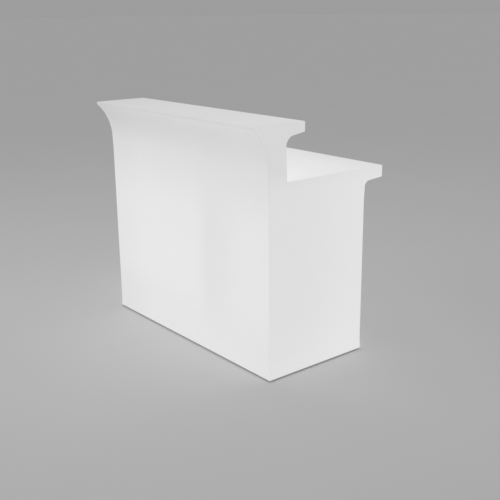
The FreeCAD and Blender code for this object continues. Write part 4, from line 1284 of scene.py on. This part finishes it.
kit_places = []
for row in ("lower", "middle", "upper"):
    row_height = clip_low.z + screw_ear / 2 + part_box("led_channel_" + row)[0].z - lowest_channel
    kit_places += [(x, row_height) for x in (clip_low.x + clip_length / 2, 0, clip_high.x - clip_length / 2)]
for x in (caps_low.x + driver_ear_length / 2, caps_high.x - driver_ear_length / 2):
    kit_places += [(x, (caps_low.z + caps_high.z) / 2 + side * driver_width / 4) for side in (-1, 1)]
kit_places.append(((saddle_low.x + saddle_high.x) / 2, saddle_low.z + screw_ear / 2))
kit_seats = [Vector((x, hatch_high.y, z)) for x, z in kit_places]
kit_screws = screw_set("kit_screw_set", kit_seats, y_axis, kit_screw_radius, kit_screw_length, sunk_head)
finish_piece(kit_screws, "shell", "stainless", "kit_screws")

# %% [markdown]
# ## The rails
# Two aluminium angles carry the shelf. An angle is sawn from a long extruded bar, so its long edges are
# slightly round, and its cut ends have been run over a file. A bar has the inside of the angle cut away, is
# eased all round, and then gets its countersunk holes.

# %% Model the two rails and their screws
rail_thickness = 0.003
rail_ease = 0.0004
rail_screw_radius = 0.0025
rail_screw_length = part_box("rail_screws")[1].x - (bay_reach - rail_thickness)


def sunk_hole(radius, depth, mouth):
    """Profile of a countersunk hole, with its mouth at the seat and its end behind the sheet."""
    return [(0, -depth), (1.1 * radius, -depth), (1.1 * radius, -0.9 * radius),
            (mouth * radius, 0), (mouth * radius, cut_over), (0, cut_over)]


def model_rail(place, side):
    """The angle on one side, -1 on the left and 1 on the right, and the set of its screws."""
    low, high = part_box("shelf_rail_" + place)
    rail = new_block("rail_" + place, low, high)
    leg_x = side * (bay_reach - rail_thickness)
    inside_x = sorted((leg_x, leg_x - side * overrun * 2))
    inside = new_block("inside", (inside_x[0], low.y - overrun, low.z - overrun),
                       (inside_x[1], high.y + overrun, high.z - rail_thickness))
    combine(rail, inside, "DIFFERENCE")
    apply_modifier(rail, "BEVEL", width=rail_ease, segments=2, limit_method="ANGLE")
    inward = x_axis * -side
    seats = [seat + inward * rail_thickness for seat in rail_seats if seat.x * side > 0]
    hole = sunk_hole(rail_screw_radius, depth=0.005, mouth=1.9)
    combine(rail, join([turn_piece("sink", seat, inward, hole, screw_sides) for seat in seats]), "DIFFERENCE")
    finish_piece(rail, "shell", "rail_aluminium", "shelf_rail_" + place)
    return screw_set("screws_" + place, seats, inward, rail_screw_radius, rail_screw_length, sunk_head)


rail_screws = join([model_rail("left", -1), model_rail("right", 1)])
rail_screws.name = "rail_screw_set"
finish_piece(rail_screws, "shell", "stainless", "rail_screws")

# %% [markdown]
# ## The mains inlet
# One moulding holds the socket for the mains connector, a drawer for the fuse and a rocker switch. It is a
# thin flange in front of the hatch with a box behind it. The openings are cut by blocks of their own shapes,
# and then every mouth gets the tiny round that a mould leaves, so that it catches a line of light.

# %% Name the sizes of the inlet
fit = 0.0003
flange_overlap = 0.004
inlet_rim = 0.0045
inlet_rib = 0.0058
inlet_side_wall = 0.0015
inlet_ear = 0.0126
socket_width = 0.0244
socket_height = 0.0164
socket_depth = 0.016
drawer_width = 0.022
drawer_height = 0.009
drawer_depth = 0.026
rocker_half = 0.009
rocker_width = 0.013
rocker_tilt = math.radians(10)
rocker_belly = 0.005
pivot_depth = 0.003

inlet_low, inlet_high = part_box("inlet_housing")
drawer_low, drawer_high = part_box("fuse_drawer")
inlet_x = (inlet_low.x + inlet_high.x) / 2
inlet_z = (inlet_low.z + inlet_high.z) / 2
face_y = inlet_high.y
sheet_y = hatch_high.y
inlet_half = socket_width / 2 + inlet_side_wall
body_half = (inlet_high.z - inlet_low.z) / 2 - flange_overlap
ear_x = inlet_half + inlet_ear / 2
socket_z = inlet_low.z + flange_overlap + inlet_rim + socket_height / 2
drawer_z = (drawer_low.z + drawer_high.z) / 2
print("socket at", round(socket_z, 4), "drawer at", round(drawer_z, 4))

# %% Find where the rocker turns
shoulder = (pivot_depth + rocker_half * math.sin(rocker_tilt)) / math.cos(rocker_tilt)
well_half = rocker_half * math.cos(rocker_tilt) + shoulder * math.sin(rocker_tilt) + fit
pivot_z = drawer_z + drawer_height / 2 + inlet_rib + well_half
pivot = Vector((inlet_x, face_y - pivot_depth, pivot_z))
print("rocker turns about", tuple(round(c, 4) for c in pivot))


# %% Make the flange and the box behind it
def box_about(name, x_half, y_low, y_high, z_middle, z_half):
    """A block about the inlet's middle plane."""
    return new_block(name, (inlet_x - x_half, y_low, z_middle - z_half),
                     (inlet_x + x_half, y_high, z_middle + z_half))


flange_round = 0.005
flange_ease = 0.0007
inlet = new_block("inlet_moulding", (inlet_low.x, sheet_y, inlet_low.z), inlet_high)
bevel_edges(inlet, lambda edge: runs_along(edge, y_axis), flange_round, segments=6)
bevel_edges(inlet, lambda edge: reaches(edge, face_y), flange_ease, segments=3)
inlet_box = box_about("inlet_body", inlet_half, inlet_low.y, sheet_y + cut_over, inlet_z, body_half)
combine(inlet, inlet_box, "UNION")
print("inlet faces", len(inlet.data.polygons))

# %% Cut the socket, the drawer's slot, the rocker's well and the holes in the ears
socket_chamfer = 0.004
well_clearance = 0.002
ear_hole_radius = 0.002
small_hole_sides = 24
mouth_y = face_y + overrun

socket = box_about("socket", socket_width / 2, face_y - socket_depth, mouth_y, socket_z, socket_height / 2)
bevel_edges(socket, lambda edge: runs_along(edge, y_axis) and middle(edge).z > socket_z,
            socket_chamfer, segments=1)
cuts = [socket,
        box_about("slot", drawer_width / 2 + fit, face_y - drawer_depth - fit, mouth_y,
                  drawer_z, drawer_height / 2 + fit),
        box_about("well", rocker_width / 2 + fit, pivot.y - rocker_belly - well_clearance, mouth_y,
                  pivot.z, well_half)]
ear_seats = [Vector((inlet_x + side * ear_x, face_y, inlet_z)) for side in (-1, 1)]
ear_rod = rod_profile(ear_hole_radius, overrun)
cuts += [turn_piece("ear_hole", seat, y_axis, ear_rod, small_hole_sides) for seat in ear_seats]
combine(inlet, join(cuts), "DIFFERENCE")
print("with openings", len(inlet.data.polygons))

# %% Cut the holes of the pins and the rocker's bearing
pin_width = 0.002
pin_height = 0.004
pin_spacing = 0.014
earth_pin_rise = 0.004
rocker_pin_radius = 0.0012
rocker_pin_half = rocker_width / 2 + 0.0015

pin_places = [(-pin_spacing / 2, 0), (0, earth_pin_rise), (pin_spacing / 2, 0)]
bores = []
for x, z in pin_places:
    at_pin = Vector((inlet_x + x, 0, socket_z + z))
    half_hole = Vector((pin_width / 2 + clearance, 0, pin_height / 2 + clearance))
    bores.append(new_block("pin_hole", at_pin - half_hole + y_axis * (inlet_low.y - overrun),
                           at_pin + half_hole + y_axis * (face_y - socket_depth + cut_over)))
bearing = rod_profile(rocker_pin_radius + clearance, rocker_pin_half + fit)
bores.append(turn_piece("bearing", pivot, x_axis, bearing, small_hole_sides))
combine(inlet, join(bores), "DIFFERENCE")
print("with bores", len(inlet.data.polygons))

# %% Ease the mouths and screw the inlet on
mouth_ease = 0.0004
inlet_screw_radius = 0.00175
inlet_screw_length = face_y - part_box("inlet_screws")[0].y


def at_inlet_mouth(edge):
    """Whether an edge lies in the flange's face, round one of the openings."""
    inside = all(abs(corner.co.x - inlet_x) < ear_x + 1.5 * ear_hole_radius
                 and abs(corner.co.z - inlet_z) < body_half for corner in edge.verts)
    return inside and all(abs(corner.co.y - face_y) < tiny for corner in edge.verts)


print("mouth edges rounded:", bevel_edges(inlet, at_inlet_mouth, mouth_ease, segments=2))
finish_piece(inlet, "shell", "black_plastic", "inlet_housing")
inlet_screws = screw_set("inlet_screw_set", ear_seats, y_axis,
                         inlet_screw_radius, inlet_screw_length, button_head)
finish_piece(inlet_screws, "shell", "stainless", "inlet_screws")

# %% [markdown]
# ## The hatch
# The hatch is a sheet of aluminium, cut on a router, with its edges broken and then coated white. The coat
# runs thin over an edge and shows the roundness under it. The sheet is a block with rounded corners and a
# small round on its outer rim, and every hole is cut through it: a round one or a sink for each screw, and
# the window of the mains inlet.

# %% Model the hatch
hatch_round = 0.012
hatch_ease = 0.0006
hole_gap = 0.0002
hatch = new_block("hatch_panel", hatch_low, hatch_high)
bevel_edges(hatch, lambda edge: runs_along(edge, y_axis), hatch_round, segments=10)
bevel_edges(hatch, lambda edge: reaches(edge, hatch_high.y), hatch_ease, segments=3)
print("sheet faces", len(hatch.data.polygons))

# %% Cut its window and its holes
holes = [box_about("window", inlet_half + hole_gap, hatch_low.y - overrun, hatch_high.y + overrun,
                   inlet_z, body_half + hole_gap)]
for seats, radius in ((hatch_screw_seats, hatch_screw_radius), (ear_seats, inlet_screw_radius)):
    rod = rod_profile(radius + hole_gap, overrun)
    holes += [turn_piece("rod", seat, y_axis, rod, small_hole_sides) for seat in seats]
sink = sunk_hole(kit_screw_radius, depth=0.010, mouth=1.95)
holes += [turn_piece("sink", seat, y_axis, sink, screw_sides) for seat in kit_seats]
print("holes cut", len(holes))
combine(hatch, join(holes), "DIFFERENCE")
finish_piece(hatch, "shell", "hatch_paint", "light_hatch")

# %% [markdown]
# ## The rocker
# The rocker's face is a shallow V that turns about a pin, so one half always stands proud. At rest here its
# upper half is pressed: it is on. Its side view is drawn with one vertex, already tilted, and pulled to its
# width. The pin is added across it, and the edges of its two sides are eased.

# %% Draw the rocker, tilted to its on position
crown = 0.0012
rim_round = 0.0006
crown_round = 0.006
side_round = 0.0005
belly_round = 0.0008
rocker_ease = 0.0003


def tilted(y, z, radius):
    """A corner of the rocker's side view, given about its pin, tilted and put in its place."""
    turned_y = y * math.cos(rocker_tilt) - z * math.sin(rocker_tilt)
    turned_z = y * math.sin(rocker_tilt) + z * math.cos(rocker_tilt)
    return (pivot.y + turned_y, pivot.z + turned_z, radius)


def on_a_side(edge):
    """Whether an edge runs round one of the rocker's two sides."""
    from_middle = abs(middle(edge).x - inlet_x)
    return not runs_along(edge, x_axis) and abs(from_middle - rocker_width / 2) < tiny


side_view = [tilted(-rocker_belly, -rocker_belly, belly_round), tilted(0, -rocker_half, side_round),
             tilted(shoulder, -rocker_half, rim_round), tilted(shoulder - crown, 0, crown_round),
             tilted(shoulder, rocker_half, rim_round), tilted(0, rocker_half, side_round),
             tilted(-rocker_belly, rocker_belly, belly_round)]
rocker = draw_section("rocker_cap", inlet_x - rocker_width / 2, side_view, arc_step=math.radians(15))
pull(x_axis * rocker_width)
close_skin()
start_clean()
bevel_edges(rocker, on_a_side, rocker_ease, segments=2)
rocker_pin = rod_profile(rocker_pin_radius, rocker_pin_half)
combine(rocker, turn_piece("rocker_pin", pivot, x_axis, rocker_pin, small_hole_sides), "UNION")
finish_piece(rocker, "rocker", "rocker_plastic", "rocker_switch")

# %% [markdown]
# ## The marks on the rocker
# A mains switch has a line for on and a ring for off, printed a little proud. They are made as thin solids
# at the origin, where their sizes are easy to see, and then moved onto the two halves of the rocker's face.
# They are pieces of their own, in white plastic, and ride with the rocker.

# %% Stand the line and the ring on the rocker
mark_rise = 0.00012
mark_place = rocker_half * 0.52
line_half_width = 0.0004
line_half_length = 0.0019
line_round = 0.0003
ring_inside = 0.0013
ring_outside = 0.00195
ring_sides = 40
face_slope = math.atan(crown / rocker_half)


def onto_rocker(piece, half):
    """Move a mark that was made at the origin onto the upper (1) or the lower (-1) half."""
    height = shoulder - crown + crown * mark_place / rocker_half
    piece.matrix_world = (Matrix.Translation(pivot) @ Matrix.Rotation(rocker_tilt, 4, "X")
                          @ Matrix.Translation((0, height, half * mark_place))
                          @ Matrix.Rotation(-half * face_slope, 4, "X"))
    return settle(piece)


line = new_block("rocker_marks", (-line_half_width, -mark_rise, -line_half_length),
                 (line_half_width, mark_rise, line_half_length))
bevel_edges(line, lambda edge: runs_along(edge, y_axis), line_round, segments=3)
ring = turn_piece("ring", origin, y_axis, [(ring_inside, -mark_rise), (ring_outside, -mark_rise),
                                           (ring_outside, mark_rise), (ring_inside, mark_rise),
                                           (ring_inside, -mark_rise)], ring_sides)
marks = join([onto_rocker(line, 1), onto_rocker(ring, -1)])
dress(marks, "rocker", "white_plastic")

# %% [markdown]
# ## The fuse drawer
# A small drawer under the rocker holds the fuse, and a fingernail pulls it out by the notch in its lip. The
# lip is a block with rounded corners in front of the flange. The drawer's body is added behind it, and then
# the trough for the fuse and the notch are cut.

# %% Model the fuse drawer
lip_round = 0.0012
lip_ease = 0.0005
fuse_half_length = 0.0101
fuse_half_width = 0.0025 + clearance
fuse_y = face_y - drawer_depth / 2
trough_half_height = (drawer_height + fuse_half_width) / 2
trough_rise = trough_half_height - fuse_half_width
notch_rise = 0.001
notch_sides = 40

drawer = new_block("drawer_of_the_fuse", (drawer_low.x, face_y, drawer_low.z), drawer_high)
bevel_edges(drawer, lambda edge: runs_along(edge, y_axis), lip_round, segments=4)
bevel_edges(drawer, lambda edge: reaches(edge, drawer_high.y), lip_ease, segments=3)
combine(drawer, box_about("drawer_body", drawer_width / 2, drawer_low.y, face_y + cut_over / 2,
                          drawer_z, drawer_height / 2), "UNION")
trough = box_about("trough", fuse_half_width, fuse_y - fuse_half_length, fuse_y + fuse_half_length,
                   drawer_z + trough_rise, trough_half_height)
notch_place = Vector((inlet_x, drawer_high.y, drawer_high.z + notch_rise))
notch_profile = thousandths((0, -1.3), (3.2, -1.3), (4.5, 0.5), (0, 0.5))
notch = turn_piece("thumb_notch", notch_place, y_axis, notch_profile, notch_sides)
combine(drawer, join([trough, notch]), "DIFFERENCE")
finish_piece(drawer, "drawer", "black_plastic", "fuse_drawer")

# %% [markdown]
# ## Measure and finish
# The script ends in object mode, with nothing selected. The
# last line checks that the CAD model is still as it was loaded, and writes the table of all pieces.

# %% Finish
start_clean()
